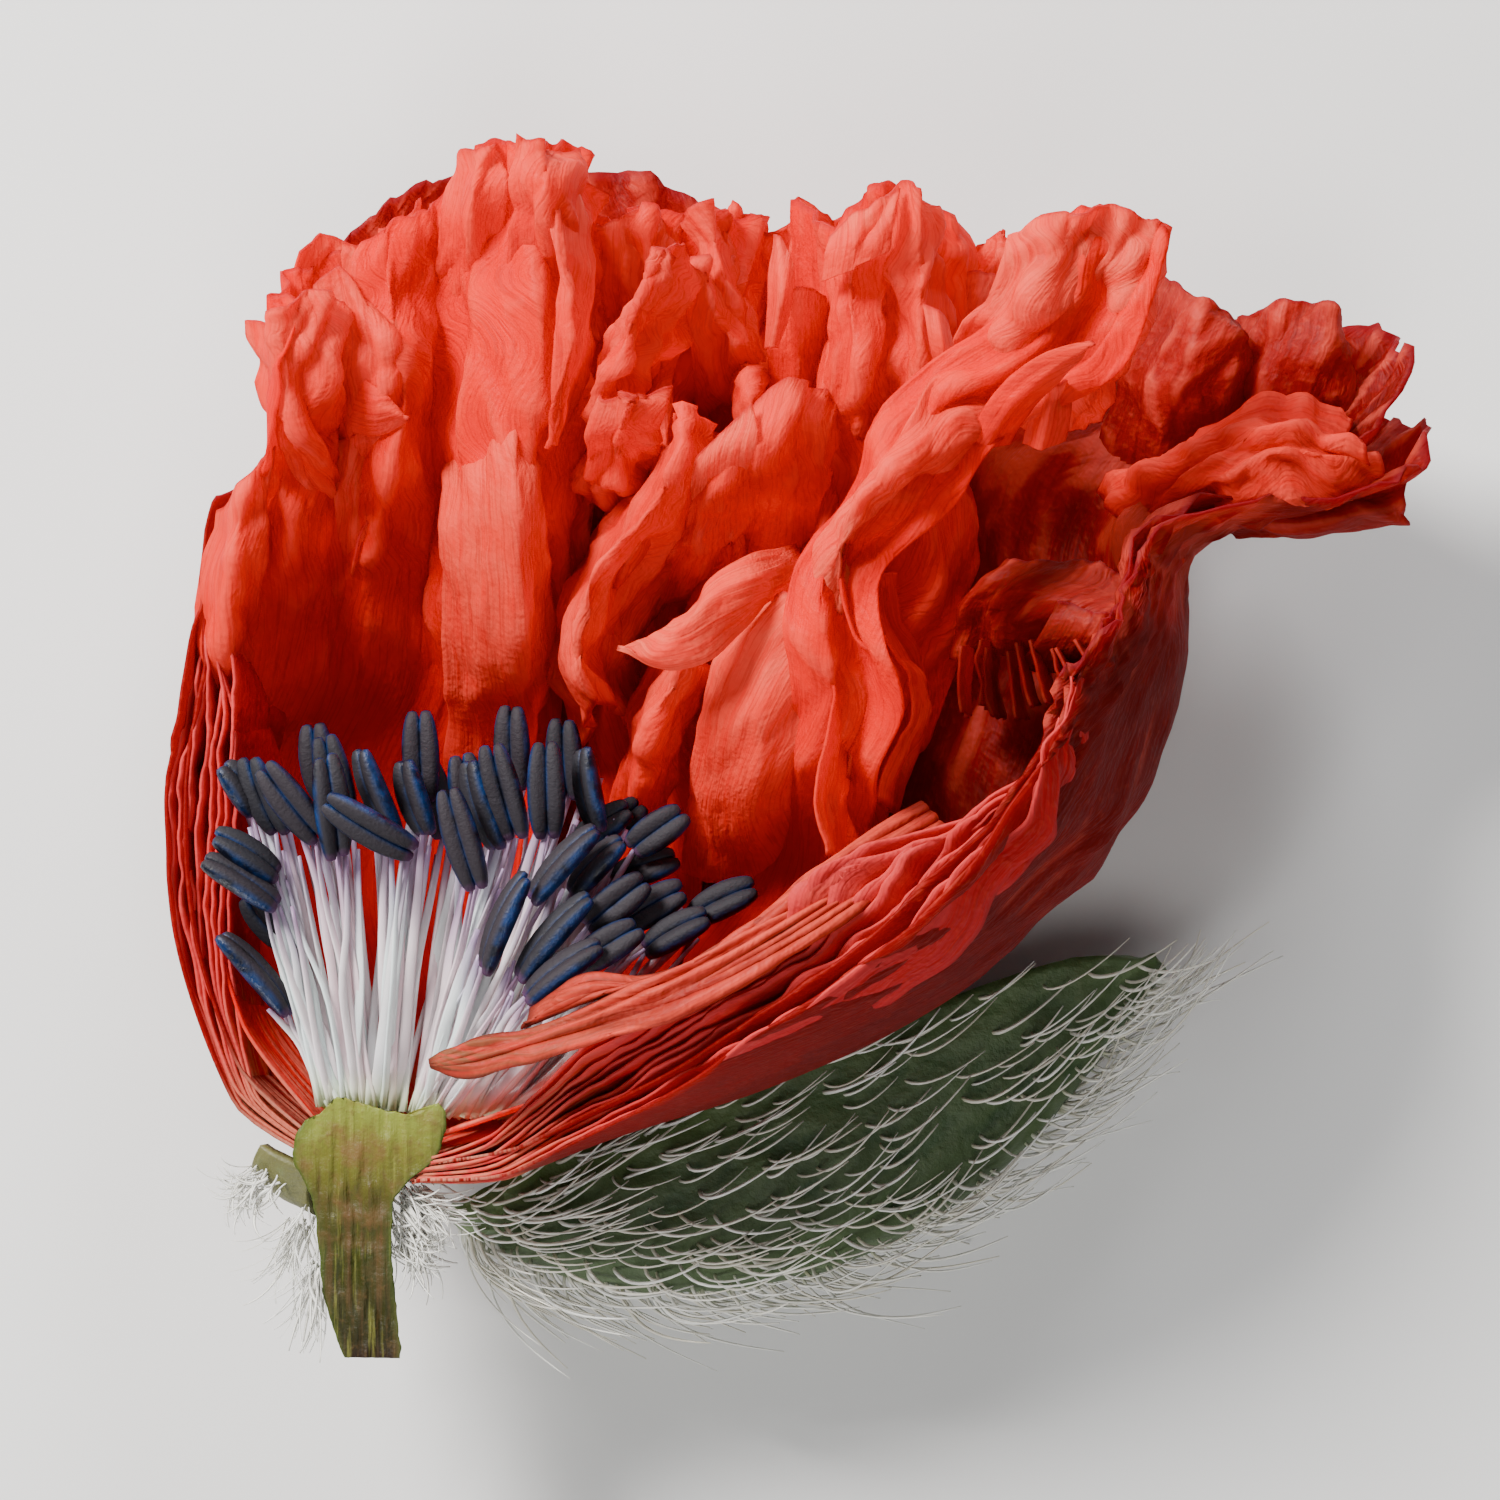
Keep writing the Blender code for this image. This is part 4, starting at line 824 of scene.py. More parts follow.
            ((18.2, 12.9, 0.30), (18.8, 16.8, 0.68), (19.1, 20.5, 0.84), (19.4, 23.8, 0.89), (20.7, 27.0, 0.91)),
            ((20.3, 13.9, 0.30), (20.9, 17.5, 0.64), (21.2, 21.0, 0.82), (21.3, 24.0, 0.89), (21.7, 27.0, 0.93)),
            ((21.9, 16.6, 0.26), (22.5, 19.5, 0.50), (22.6, 22.0, 0.68), (22.5, 24.5, 0.78), (22.8, 27.0, 0.86)),
        )),
    ),
    ("front", "petal_front_right"): (
        ("ruffle", 0.38, 1.60, 0.90, (
            ((28.5, 36.6, 0.65), (28.9, 39.9, 0.87), (30.4, 41.9, 0.97), (32.8, 43.9, 1.02)),
            ((29.8, 36.1, 0.71), (31.0, 39.0, 0.97), (32.5, 41.6, 1.05), (33.5, 45.6, 1.05)),
            ((31.5, 36.0, 0.71), (33.2, 39.0, 0.93), (34.8, 42.0, 0.99), (35.3, 46.0, 1.04)),
            ((33.4, 35.5, 0.65), (35.6, 38.5, 0.91), (37.0, 42.0, 0.99), (37.2, 45.8, 1.04)),
            ((35.2, 35.4, 0.53), (37.0, 38.5, 0.75), (38.5, 42.0, 0.87), (38.9, 45.2, 0.95)),
        )),
        ("burnt", 0.05, 1.20, 0.60, (
            ((28.9, 34.2, 0.96), (30.4, 36.9, 1.08), (32.6, 38.7, 1.11), (35.2, 39.5, 1.11)),
            ((30.0, 34.1, 1.00), (31.3, 36.3, 1.11), (33.1, 37.9, 1.13), (35.4, 39.3, 1.12)),
            ((31.2, 34.5, 0.96), (32.3, 36.2, 1.06), (33.5, 37.4, 1.09), (35.3, 39.1, 1.10)),
        )),
        ("lip", 0.40, 1.20, 0.40, (
            ((30.5, 37.2, 0.91), (27.6, 37.5, 0.99), (26.6, 35.8, 1.04), (24.9, 33.6, 1.04),
             (23.4, 32.0, 1.02), (21.9, 30.1, 0.97), (21.0, 28.3, 0.87)),
            ((31.0, 36.6, 1.01), (28.4, 35.8, 1.07), (26.7, 34.4, 1.11), (25.0, 32.8, 1.11),
             (23.4, 31.2, 1.10), (22.5, 29.2, 1.07), (22.2, 26.7, 0.97)),
            ((31.3, 36.1, 0.99), (28.8, 34.6, 1.07), (26.9, 33.7, 1.10), (25.3, 32.5, 1.10),
             (24.0, 31.0, 1.09), (23.2, 29.2, 1.07), (22.9, 26.0, 0.96)),
            ((31.6, 35.6, 0.91), (29.1, 33.7, 0.99), (27.0, 33.1, 1.02), (25.6, 32.3, 1.02),
             (24.4, 30.9, 1.01), (23.6, 29.2, 0.99), (23.3, 25.2, 0.87)),
        )),
        ("nestOne", 0.15, 1.20, 0.30, (
            ((23.3, 30.0, 1.03), (23.1, 28.0, 1.02), (23.9, 25.6, 1.00), (25.1, 24.2, 0.98),
             (25.6, 23.2, 0.95), (25.2, 21.8, 0.90), (24.1, 20.6, 0.85), (23.5, 18.2, 0.79)),
            ((23.6, 29.9, 0.95), (23.5, 27.9, 0.94), (24.4, 25.6, 0.92), (25.6, 24.2, 0.90),
             (26.1, 23.1, 0.87), (25.6, 21.5, 0.82), (24.6, 20.1, 0.77), (23.8, 17.8, 0.71)),
            ((24.2, 29.7, 0.81), (24.2, 27.7, 0.79), (25.2, 25.6, 0.77), (26.4, 24.2, 0.75),
             (26.8, 22.9, 0.71), (26.2, 20.9, 0.65), (25.2, 19.4, 0.60), (24.3, 17.0, 0.55)),
        )),
        ("nestTwo", 0.10, 1.20, 0.30, (
            ((24.4, 28.4, 0.97), (24.8, 25.9, 0.95), (25.8, 24.2, 0.93), (26.6, 23.0, 0.90),
             (26.6, 21.2, 0.85), (25.8, 19.4, 0.79), (25.0, 16.8, 0.73)),
            ((24.7, 28.3, 0.89), (25.2, 25.9, 0.87), (26.2, 24.3, 0.85), (27.0, 23.0, 0.82),
             (27.0, 21.1, 0.77), (26.1, 19.1, 0.71), (25.4, 16.5, 0.65)),
            ((25.4, 28.2, 0.73), (25.9, 26.0, 0.72), (26.9, 24.5, 0.69), (27.6, 23.0, 0.66),
             (27.6, 20.8, 0.61), (26.6, 18.7, 0.55), (26.1, 16.3, 0.50)),
        )),
        ("nestThree", 0.05, 1.20, 0.30, (
            ((21.4, 27.0, 1.01), (22.1, 24.5, 1.00), (22.7, 22.0, 0.98),
             (22.4, 19.5, 0.95), (21.8, 17.0, 0.90), (22.1, 14.1, 0.83)),
            ((21.8, 27.0, 0.95), (22.5, 24.5, 0.93), (23.1, 22.0, 0.91),
             (22.9, 19.5, 0.87), (22.3, 16.9, 0.82), (22.5, 14.0, 0.75)),
            ((22.6, 26.9, 0.81), (23.3, 24.5, 0.79), (23.9, 22.0, 0.75),
             (23.5, 19.4, 0.71), (23.1, 16.7, 0.66), (23.1, 13.8, 0.59)),
        )),
        ("crumbs", 0.25, 1.60, 1.00, (
            ((31.8, 34.5, 0.94), (32.1, 35.8, 1.02), (32.6, 37.2, 1.02)),
            ((32.7, 34.2, 0.96), (33.0, 35.6, 1.06), (33.3, 37.1, 1.05)),
            ((33.9, 34.7, 0.88), (34.0, 36.0, 0.98), (34.1, 37.4, 0.98)),
        )),
    ),
}
# The same, but with heights, for those at the bud's edges
farLobes = {
    ("left", "petal_inner_left"): (
        ("shoulder", 0.12, 1.00, 0.50, (
            ((-10.1, 19.0, -6.6), (-9.5, 23.0, -4.2), (-9.2, 27.5, -3.2), (-8.8, 30.1, -2.8), (-8.2, 31.8, -2.4)),
            ((-8.7, 19.0, -6.6), (-8.0, 23.2, -3.4), (-7.7, 27.4, -1.0), (-7.3, 30.0, -0.4), (-6.8, 33.0, -0.8)),
            ((-6.8, 19.5, -9.6), (-6.4, 24.0, -6.6), (-6.1, 27.4, -3.0), (-5.8, 30.5, -1.8), (-5.4, 34.5, -1.2)),
        )),
        ("outer", 0.15, 1.30, 0.70, (
            ((-3.9, 32.4, -4.4), (-5.2, 35.4, -2.0), (-6.0, 37.4, -1.2), (-6.5, 40.6, -0.8)),
            ((-3.5, 32.0, -4.0), (-4.1, 35.0, 0.8), (-4.8, 39.0, 2.0), (-5.0, 41.5, 1.4)),
            ((-3.1, 32.0, -4.4), (-3.1, 35.0, 0.2), (-2.6, 39.0, 1.0), (-3.1, 42.1, 0.4)),
            ((-2.5, 31.8, -6.0), (-2.2, 35.5, -2.2), (-1.8, 39.0, -1.4), (-2.0, 42.0, -1.6)),
        )),
    ),
    ("far", "petal_middle_right"): (
        ("accordionTop", 0.02, 0.80, 0.50, (
            ((28.7, 24.2, -4.0), (29.1, 26.6, -1.0), (30.2, 27.8, 0.6), (31.7, 28.7, 0.8)),
            ((30.9, 24.2, -1.0), (31.2, 26.3, 2.2), (32.4, 27.3, 3.0), (33.5, 29.0, 2.2)),
            ((33.3, 24.1, 1.0), (33.8, 25.8, 3.6), (34.8, 26.9, 4.4), (35.9, 28.8, 3.4)),
            ((35.1, 23.8, 2.0), (36.3, 24.7, 4.2), (37.4, 25.6, 5.0), (38.0, 27.4, 4.4)),
        )),
        ("accordionLobe", 0.05, 0.80, 0.50, (
            ((31.9, 23.8, 1.0), (33.0, 25.4, 4.0), (33.8, 26.8, 4.6)),
            ((34.1, 23.4, 2.0), (35.2, 24.9, 5.2), (35.9, 26.2, 5.6)),
            ((35.6, 23.6, 2.2), (36.8, 24.2, 4.8), (37.9, 25.4, 5.4)),
        )),
        ("dome", 0.02, 0.70, 0.50, (
            ((35.8, 33.5, -6.4), (37.2, 38.5, -4.4), (38.6, 42.0, -3.4), (39.1, 43.5, -3.8)),
            ((38.5, 33.0, -5.6), (40.0, 37.5, -1.0), (41.0, 40.9, -0.4), (41.2, 42.1, -1.4)),
            ((40.8, 33.0, -5.4), (42.4, 37.4, -1.4), (43.0, 39.6, -0.8), (43.1, 40.8, -1.8)),
            ((41.6, 32.5, -4.6), (43.2, 35.6, -3.6), (43.7, 37.5, -3.2), (43.9, 38.9, -3.4)),
        )),
        ("domeFar", 0.00, 0.70, 0.60, (
            ((41.6, 33.5, -5.0), (42.3, 37.5, -4.4), (42.9, 40.1, -4.0), (43.3, 41.4, -4.2)),
            ((43.6, 34.0, -4.4), (44.4, 38.0, -1.6), (45.0, 40.5, -1.2), (45.5, 42.0, -1.8)),
            ((45.8, 34.5, -4.0), (46.6, 38.0, -0.8), (47.3, 40.1, -0.8), (47.6, 41.8, -1.6)),
            ((47.1, 33.5, -3.4), (48.2, 35.6, -2.4), (48.8, 37.2, -2.2), (48.5, 38.9, -2.4)),
        )),
        ("farFront", 0.22, 1.50, 1.00, (
            ((35.9, 32.7, -4.4), (39.8, 34.7, -1.0), (43.0, 36.8, 0.4), (46.1, 37.0, 0.6), (48.6, 35.4, -0.2)),
            ((36.5, 31.8, -2.4), (40.3, 33.7, 2.4), (43.6, 35.7, 4.0), (46.8, 35.4, 3.6), (49.3, 34.2, 2.4)),
            ((37.1, 30.9, -1.4), (40.8, 32.4, 3.0), (44.1, 34.0, 4.4), (47.1, 33.8, 3.8), (49.9, 33.4, 2.2)),
            ((37.5, 30.0, -2.0), (41.1, 31.2, 1.2), (44.4, 32.0, 2.0), (47.1, 32.2, 1.8), (50.1, 32.6, 0.6)),
        )),
        ("farLow", 0.00, 1.20, 1.20, (
            ((40.5, 32.0, -1.0), (45.5, 31.8, 0.4), (48.5, 32.5, 0.2), (51.1, 32.9, -0.6)),
            ((41.7, 31.2, -0.4), (45.8, 30.8, 1.0), (48.8, 31.3, 1.0), (51.6, 32.0, 0.0)),
            ((43.0, 30.4, -2.0), (46.0, 30.0, -0.6), (48.6, 30.4, -0.6), (51.4, 31.2, -1.2)),
        )),
    ),
}
accordion = {"first": ((29.1, 24.7, 0.2), (28.9, 23.0, 0.0), (29.0, 21.3, -0.4)),
             "last": ((34.4, 24.7, 5.6), (35.2, 23.3, 6.0), (36.0, 21.8, 6.0)), "leaves": 9, "lean": (0.9, -0.2, -4.2)}
lobeShape = {
    "rows": 54,
    "stepsPerLine": 12,
    "sharpness": 0.7,  # 0 round, 1 sharp
    "fullBreadth": 7.0,  # mm, narrower lobes are crumpled less
    # Paler tips: painted highlight where the ends catch the light, partly their thinner tissue
    "tipHighlight": 0.36,
    "farTipHighlight": 0.08,
}


def lobeSheet(lines, byHeight):
    v = np.linspace(0, 1, lobeShape["rows"])
    drawn = []
    for line in lines:
        right, up, share = spline(line, v).T
        along, turn = findTurn(right, up, depthPlace, share)
        drawn.append(spline(line, v) if byHeight else leaned(depthPlace(along, turn, share)))
    drawn = np.array(drawn)
    u = np.linspace(0, 1, (len(lines) - 1) * lobeShape["stepsPerLine"] + 1)
    curved = spline(drawn, u)
    i = np.minimum((u * (len(lines) - 1)).astype(int), len(lines) - 2)
    t = (u * (len(lines) - 1) - i)[:, None, None]
    sharp = drawn[i] * (1 - t) + drawn[i + 1] * t
    return (curved + (sharp - curved) * lobeShape["sharpness"]).transpose(1, 0, 2)


def addLobe(group, node, name, highlightShare, creased, uneven, lines, byHeight, seed, size=0.68):
    grid = lobeSheet(lines, byHeight)
    breadth = arcs(grid)[0].max(axis=1).mean() * 10.0
    grid = crumple(grid, seed, creased * min(1.0, max(0.3, breadth / lobeShape["fullBreadth"])), uneven, False, size)
    numbers = petalNumbers(grid, 0.25, 0.01, highlightShare)
    # The tips' painted highlight, weaker on the far lobes, which lie in shade
    tips = lobeShape["farTipHighlight" if group == "far" or name == "salmon" else "tipHighlight"]
    numbers["pale"] += tips * smooth(np.linspace(0, 1, len(grid)), 0.35, 0.95)[:, None]
    numbers["foot"] *= 0.0
    # The far lobes, bar the front one, take the painted shade copy
    skin = petalPaintedShade if group == "far" and name != "farFront" else petalRed
    sheet = makeSheet("petal_lobe_" + group + "_" + name, grid, petals["thickness"], skin, numbers)
    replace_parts(sheet, node)


seed = 700
for table, byHeight in ((lobes, False), (farLobes, True)):
    for (group, node), petalLobes in table.items():
        for name, highlightShare, creased, uneven, lines in petalLobes:
            seed += 20
            addLobe(group, node, name, highlightShare, creased, uneven, lines, byHeight, seed)
first, last = np.array(accordion["first"]), np.array(accordion["last"])
for leaf in range(accordion["leaves"]):
    share = leaf / (accordion["leaves"] - 1)
    stray = np.array([0.25 * math.sin(leaf * 2.4), 0.3 * math.sin(leaf * 1.7), 0.3 * math.sin(leaf * 3.1)])
    top = first + (last - first) * share + stray
    low = top + np.array(accordion["lean"]) * (0.8 + 0.3 * math.sin(leaf * 1.3))
    lines = (top, top + np.array([0.35, 0.0, -1.2]), low)
    addLobe("far", "petal_middle_right", "leaf_%d" % (leaf + 1), 0.12, 0.7, 0.3, lines, True, 2000 + 20 * leaf, 0.4)
print("lobes made")

# Thin cut edges of the petals, packed along both rims
rims = {
    "left": {"turn": 0.0, "inwards": 1, "along": (-3.3, 27.0), "apart": (0.1, 0.6, 1.1, 1.6, 2.15, 2.7, 3.2, 3.8),
             "deep": 0.11},
    "right": {"turn": 1.0, "inwards": -1, "along": (-1.6, 36.0),
              "apart": (-0.3, 0.2, 0.7, 1.2, 1.7, 2.2, 2.75, 3.3, 3.9, 4.5, 5.1), "deep": 0.10},
    "rows": 110,
    "columns": 9,
    "wave": 0.32,  # mm
    "thickness": 0.14,
}
for side in ("left", "right"):
    rim = rims[side]
    for number, apart in enumerate(rim["apart"]):
        seed += 20
        chance = np.random.default_rng(seed)
        start = rim["along"][0] + chance.uniform(0.0, 0.5)
        end = rim["along"][1] - apart * 1.1 - chance.uniform(0.0, 3.0)
        along = np.linspace(start, end, rims["rows"])[:, None] * np.ones(rims["columns"])
        w = np.linspace(0, 1, rims["columns"])[None, :] * np.ones((rims["rows"], 1))
        sway = 0.010 * softNoise(along / 1.9, 0.5 + 0 * w, seed) + 0.016 * softNoise(along / 6.0, 0.2 + 0 * w, seed + 1)
        dip = 0.004 + 0.012 * chance.uniform()
        v = np.linspace(0, 1, rims["rows"])[:, None]
        fade = 1.0 - smooth(v, 0.72, 1.0)
        upper = smooth(along, 14.0, 30.0)
        deep = rim["deep"] * (0.7 + 0.6 * chance.uniform()) * w * (1.0 - 0.55 * upper) * (0.15 + 0.85 * fade)
        turn = rim["turn"] + rim["inwards"] * (dip + sway + deep)
        gather = 0.22 + 0.78 * smooth(along, -4.5, 11.0)
        away = apart * gather * (1.0 + 0.2 * upper) * (0.25 + 0.75 * fade)
        away = away + rims["wave"] * gather * (0.2 + 0.8 * fade) * softNoise(along / 2.6, w * 1.2, seed + 2)
        away = away + 0.10 * softNoise(along / 0.8, w * 1.5, seed + 3) * gather
        reach = np.linalg.norm(budWall(along, turn)[2], axis=-1)
        grid = leaned(depthPlace(along, turn, np.maximum(away, 0.02) / reach))
        grid = grid if side == "left" else grid[:, ::-1]
        numbers = petalNumbers(grid, 0.01, 9.0 + 5.0 * chance.uniform())
        numbers["foot"] *= 1.25
        numbers["edge"] = (1.0 - smooth(w, 0.0, 0.30)) * 0.55
        numbers["edge"] = numbers["edge"] if side == "left" else numbers["edge"][:, ::-1]
        name = "petal_rim_%s_%d" % (side, number + 1)
        leaf = makeSheet(name, gathered(grid), rims["thickness"], petalCrimson, numbers)
        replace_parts(leaf, "petal_outer_" + side)
print("rims made")

# The cut end of a petal, loose over the right rim
cutStrip = {
    "sheets": (  # lower edge, upper edge, bulge, lift
        (((2.7, 3.7, 4.2), (4.6, 3.4, 5.0), (8.0, 4.4, 6.2), (14.0, 6.0, 8.1), (19.0, 8.4, 9.0), (24.0, 11.8, 8.2),
          (28.2, 15.6, 4.8)),
         ((2.6, 4.2, 4.2), (4.6, 5.3, 5.0), (8.0, 6.1, 6.0), (13.0, 8.1, 7.6), (17.6, 10.5, 8.5), (22.4, 13.3, 7.8),
          (27.6, 16.2, 4.6)),
         0.5, 0.0),
        (((7.2, 5.6, 5.2), (11.0, 7.2, 6.6), (15.6, 8.6, 7.8), (19.0, 10.6, 8.2), (22.8, 13.2, 7.6), (27.6, 16.2, 4.4)),
         ((7.6, 6.8, 4.4), (10.2, 8.2, 5.6), (14.0, 8.3, 6.8), (17.6, 10.2, 7.6), (21.6, 13.6, 7.0), (27.0, 16.8, 4.2)),
         0.7, -0.1),
    ),
    "rows": 130,
    "columns": 34,
    "thickness": 0.18,
}
# The dried strip's own brown red, with painted light on its raised folds and painted shade in its valleys
stripSkin = petalMaterial("petalDried", (0.58, 0.036, 0.020), (0.17, 0.003, 0.003), (0.070, 0.014, 0.008), 0.18,
                          (0.20, 0.065, 0.028))


def archedSheet(upper, crown, lower, rows, columns):  # a sheet between two edges that bulges through a crown line
    v = np.linspace(0, 1, rows)
    a, b, c = spline(upper, v)[:, None], spline(crown, v)[:, None], spline(lower, v)[:, None]
    w = np.linspace(-1, 1, columns)[None, :, None]
    return b + (c - a) / 2 * w + ((a + c) / 2 - b) * w**2


for number, (lower, upper, bulge, lift) in enumerate(cutStrip["sheets"]):
    crown = (np.array(lower) + upper) / 2
    crown[:, 2] += bulge * np.interp(np.linspace(0, 1, len(crown)), (0.6, 0.8, 1.0), (1.0, 0.7, 0.1))
    grid = archedSheet(lower, crown, upper, cutStrip["rows"], cutStrip["columns"])
    v = np.linspace(0, 1, cutStrip["rows"])[:, None]
    w = np.linspace(0, 1, cutStrip["columns"])[None, :]
    folds = np.abs(softNoise(w * 4.2 + 0.35 * softNoise(v * 3.0, w, 511) + number, v * 1.6, 510))
    folds = folds * smooth(v, 0.02, 0.25)
    grid = grid + wayOut(grid) * (0.75 * folds - 0.2)[..., None] + (0, 0, lift)
    numbers = petalNumbers(grid, 0.0, 0.01)
    rimLine = np.maximum(1.0 - smooth(w, 0.0, 0.10), smooth(w, 0.90, 1.0)) * (1.0 - 0.6 * smooth(v, 0.4, 1.0))
    numbers["foot"] = (1.0 - smooth(v, 0.10, 0.60)) * np.ones_like(w) * (1.0 if number == 0 else 0.25)
    numbers["edge"] = np.maximum(1.0 - smooth(v * np.ones_like(w), 0.0, 0.035), rimLine) * 0.8
    # A little painted highlight on the strip
    numbers["pale"] = np.full_like(grid[..., 0], 0.12)
    grid = crumple(grid, 501 + 20 * number, 0.22, 0.0, False)
    name = ("petal_cut_strip_crumpled", "petal_cut_strip_fold")[number]
    piece = makeSheet(name, grid, cutStrip["thickness"], stripSkin, numbers)
    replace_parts(piece, "petal_cut_strip")


# Many alike strands or lumps: one grid is modelled, and each copy is bent to its own place and joined
def makeMany(name, grids, material, numbers):
    rows, columns = grids[0].shape[:2]
    deselectAll()
    bpy.ops.mesh.primitive_grid_add(x_subdivisions=columns - 1, y_subdivisions=rows - 1, size=0.02)
    model = bpy.context.object
    copies = []
    for number, grid in enumerate(grids):
        copy = model.copy()
        copy.data = model.data.copy()
        bpy.context.scene.collection.objects.link(copy)
        moveTo(copy, grid)
        for label, values in numbers.items():
            addNumbers(copy, label, np.broadcast_to(values[number], (rows, columns)))
        copies.append(copy)
    bpy.data.objects.remove(model)
    makeActive(copies[0])
    for copy in copies:
        copy.select_set(True)
    bpy.ops.object.join()
    whole = bpy.context.object
    whole.name = name
    whole.data.name = name
    bpy.ops.object.mode_set(mode="EDIT")
    bpy.ops.mesh.select_all(action="SELECT")
    bpy.ops.mesh.remove_doubles(threshold=2e-7)
    bpy.ops.mesh.normals_make_consistent(inside=False)
    bpy.ops.object.mode_set(mode="OBJECT")
    bpy.ops.object.shade_smooth()
    whole.data.materials.clear()
    whole.data.materials.append(material)
    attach(whole, "root")
    return whole


def strand(path, wide, thick, sides, roll=0.0):  # a closed strand of flattened section; its seam is merged later
    path = np.asarray(path, float)
    ahead = np.gradient(path, axis=0)
    ahead /= np.linalg.norm(ahead, axis=1, keepdims=True)
    side = np.cross(ahead, (math.sin(0.3), 0.1, 1.0))
    side /= np.linalg.norm(side, axis=1, keepdims=True)
    rise = np.cross(side, ahead)
    side, rise = side * math.cos(roll) + rise * math.sin(roll), rise * math.cos(roll) - side * math.sin(roll)
    angle = np.linspace(0, 2 * np.pi, sides + 1)
    angle[-1] = 0.0
    wide = np.broadcast_to(wide, len(path))[:, None, None]
    thick = np.broadcast_to(thick, len(path))[:, None, None]
    rings = (path[:, None] + side[:, None] * np.cos(angle)[None, :, None] * wide
             + rise[:, None] * np.sin(angle)[None, :, None] * thick)
    ends = np.ones((1, sides + 1, 1))
    return np.concatenate([path[0] * ends, rings, path[-1] * ends])


# Stamens
stamens = {
    "left": (  # anther's tip (right, up), its foot (right, up), height of its middle
        (-7.8, 18.9, -6.2, 16.4, -0.6), (-6.7, 19.1, -5.1, 15.2, -0.2), (-5.8, 18.6, -2.9, 14.9, 0.8),
        (-2.9, 20.3, -1.8, 15.5, -1.4), (-2.6, 19.2, -2.0, 14.0, 1.4), (-2.7, 16.9, 1.8, 14.3, 2.4),
        (-1.2, 19.5, 0.6, 15.2, -0.4), (-3.6, 20.9, -3.0, 17.0, -3.2), (1.8, 21.5, 2.0, 16.8, -2.8),
        (2.0, 19.2, 3.2, 15.0, -3.6), (1.0, 18.9, 2.2, 15.1, -1.4), (-8.2, 15.4, -5.0, 13.3, 0.2),
        (-8.7, 14.2, -5.0, 11.8, 0.6), (-6.8, 12.0, -4.5, 9.4, -1.8), (-7.9, 10.4, -4.4, 6.3, -1.0)),
    "right": (
        (3.4, 17.5, 4.9, 12.4, 1.6), (4.3, 18.8, 5.8, 14.3, 0.0), (4.0, 19.3, 4.6, 15.5, -2.2),
        (5.5, 19.8, 6.8, 15.0, 0.6), (6.4, 21.8, 6.6, 17.5, -2.6), (8.3, 20.0, 8.4, 15.1, 1.6),
        (9.0, 21.1, 9.3, 17.0, -2.4), (10.0, 19.6, 10.8, 15.3, 0.2), (12.4, 16.7, 9.5, 14.5, -1.2),
        (13.0, 16.9, 11.0, 14.5, -2.6), (15.2, 16.4, 12.5, 14.5, 0.4), (10.8, 15.8, 7.5, 12.1, 1.8),
        (12.0, 15.1, 9.4, 12.3, 0.4), (14.8, 14.2, 11.5, 13.0, -1.0), (7.2, 13.4, 5.1, 8.5, 3.0),
        (10.4, 12.4, 6.8, 8.2, 2.8), (13.2, 13.0, 10.2, 10.6, 1.8), (15.1, 12.6, 12.0, 10.8, 0.4),
        (11.0, 10.0, 7.2, 7.2, 4.0), (13.0, 10.8, 9.8, 8.8, 2.9), (16.4, 11.4, 13.2, 9.6, 1.6),
        (18.8, 12.8, 15.5, 11.2, 0.6)),
    "rolls": {  # how far each anther is turned round its own length, in degrees
        "left": (-50, 30, 10, 5, -15, 25, 60, 20, 5, -20, 50, -45, -50, 40, -65),
        "right": (10, 55, -10, 12, 20, 0, 15, 60, 40, 25, 10, 62, 58, 35, 66, 60, 5, 20, 55, 15, 40, 30)},
    "roots": {"left": ((-2.9, 1.6, -1.6), (0.9, 1.3, -2.4)), "right": ((1.5, 1.2, -2.4), (6.2, 1.0, -1.8))},
    "extra": {"left": 62, "right": 96},  # filaments without anthers
    "filamentPoints": 14,
    "filamentWide": 0.27,
    "filamentThick": 0.10,
    "lobeWide": 0.50,
    "lobeThick": 0.50,
    "lobeApart": 0.45,
    "anthersLift": 0.3,
}


def antherMaterial():
    r = Recipe("antherVelvet")
    face, tone, along = (r.attribute(n) for n in ("face", "tone", "along"))
    where = r.place()
    grain = r.noise(where, 5200.0, 3.0, 0.6)
    cloud = r.noise(where, 900.0, 3.0, 0.55)
    grey = r.mix(tone, (0.008, 0.0075, 0.012), (0.015, 0.010, 0.015))
    side = r.mix(r.between(cloud, 0.38, 0.72), (0.001, 0.002, 0.008), (0.004, 0.030, 0.120))
    colour = r.mix(r.between(face + (cloud - 0.5) * 0.3, 0.45, 0.85), side, grey)
    colour = r.mix(r.between(grain, 0.55, 0.75) * 0.3, colour, (0.022, 0.022, 0.030))
    colour = r.mix(r.between(along, 0.10, 0.0) * 0.8, colour, (0.10, 0.03, 0.10))
    rough = 0.30 + r.between(face, 0.3, 0.8) * 0.42
    normal = r.bump(grain * 0.6 + cloud * 0.6, 0.00012, 0.7)
    return r.finish(r.add("ShaderNodeBsdfPrincipled", None, {
        "Base Color": colour, "Roughness": rough, "Normal": normal, "Specular IOR Level": 0.35})[0])


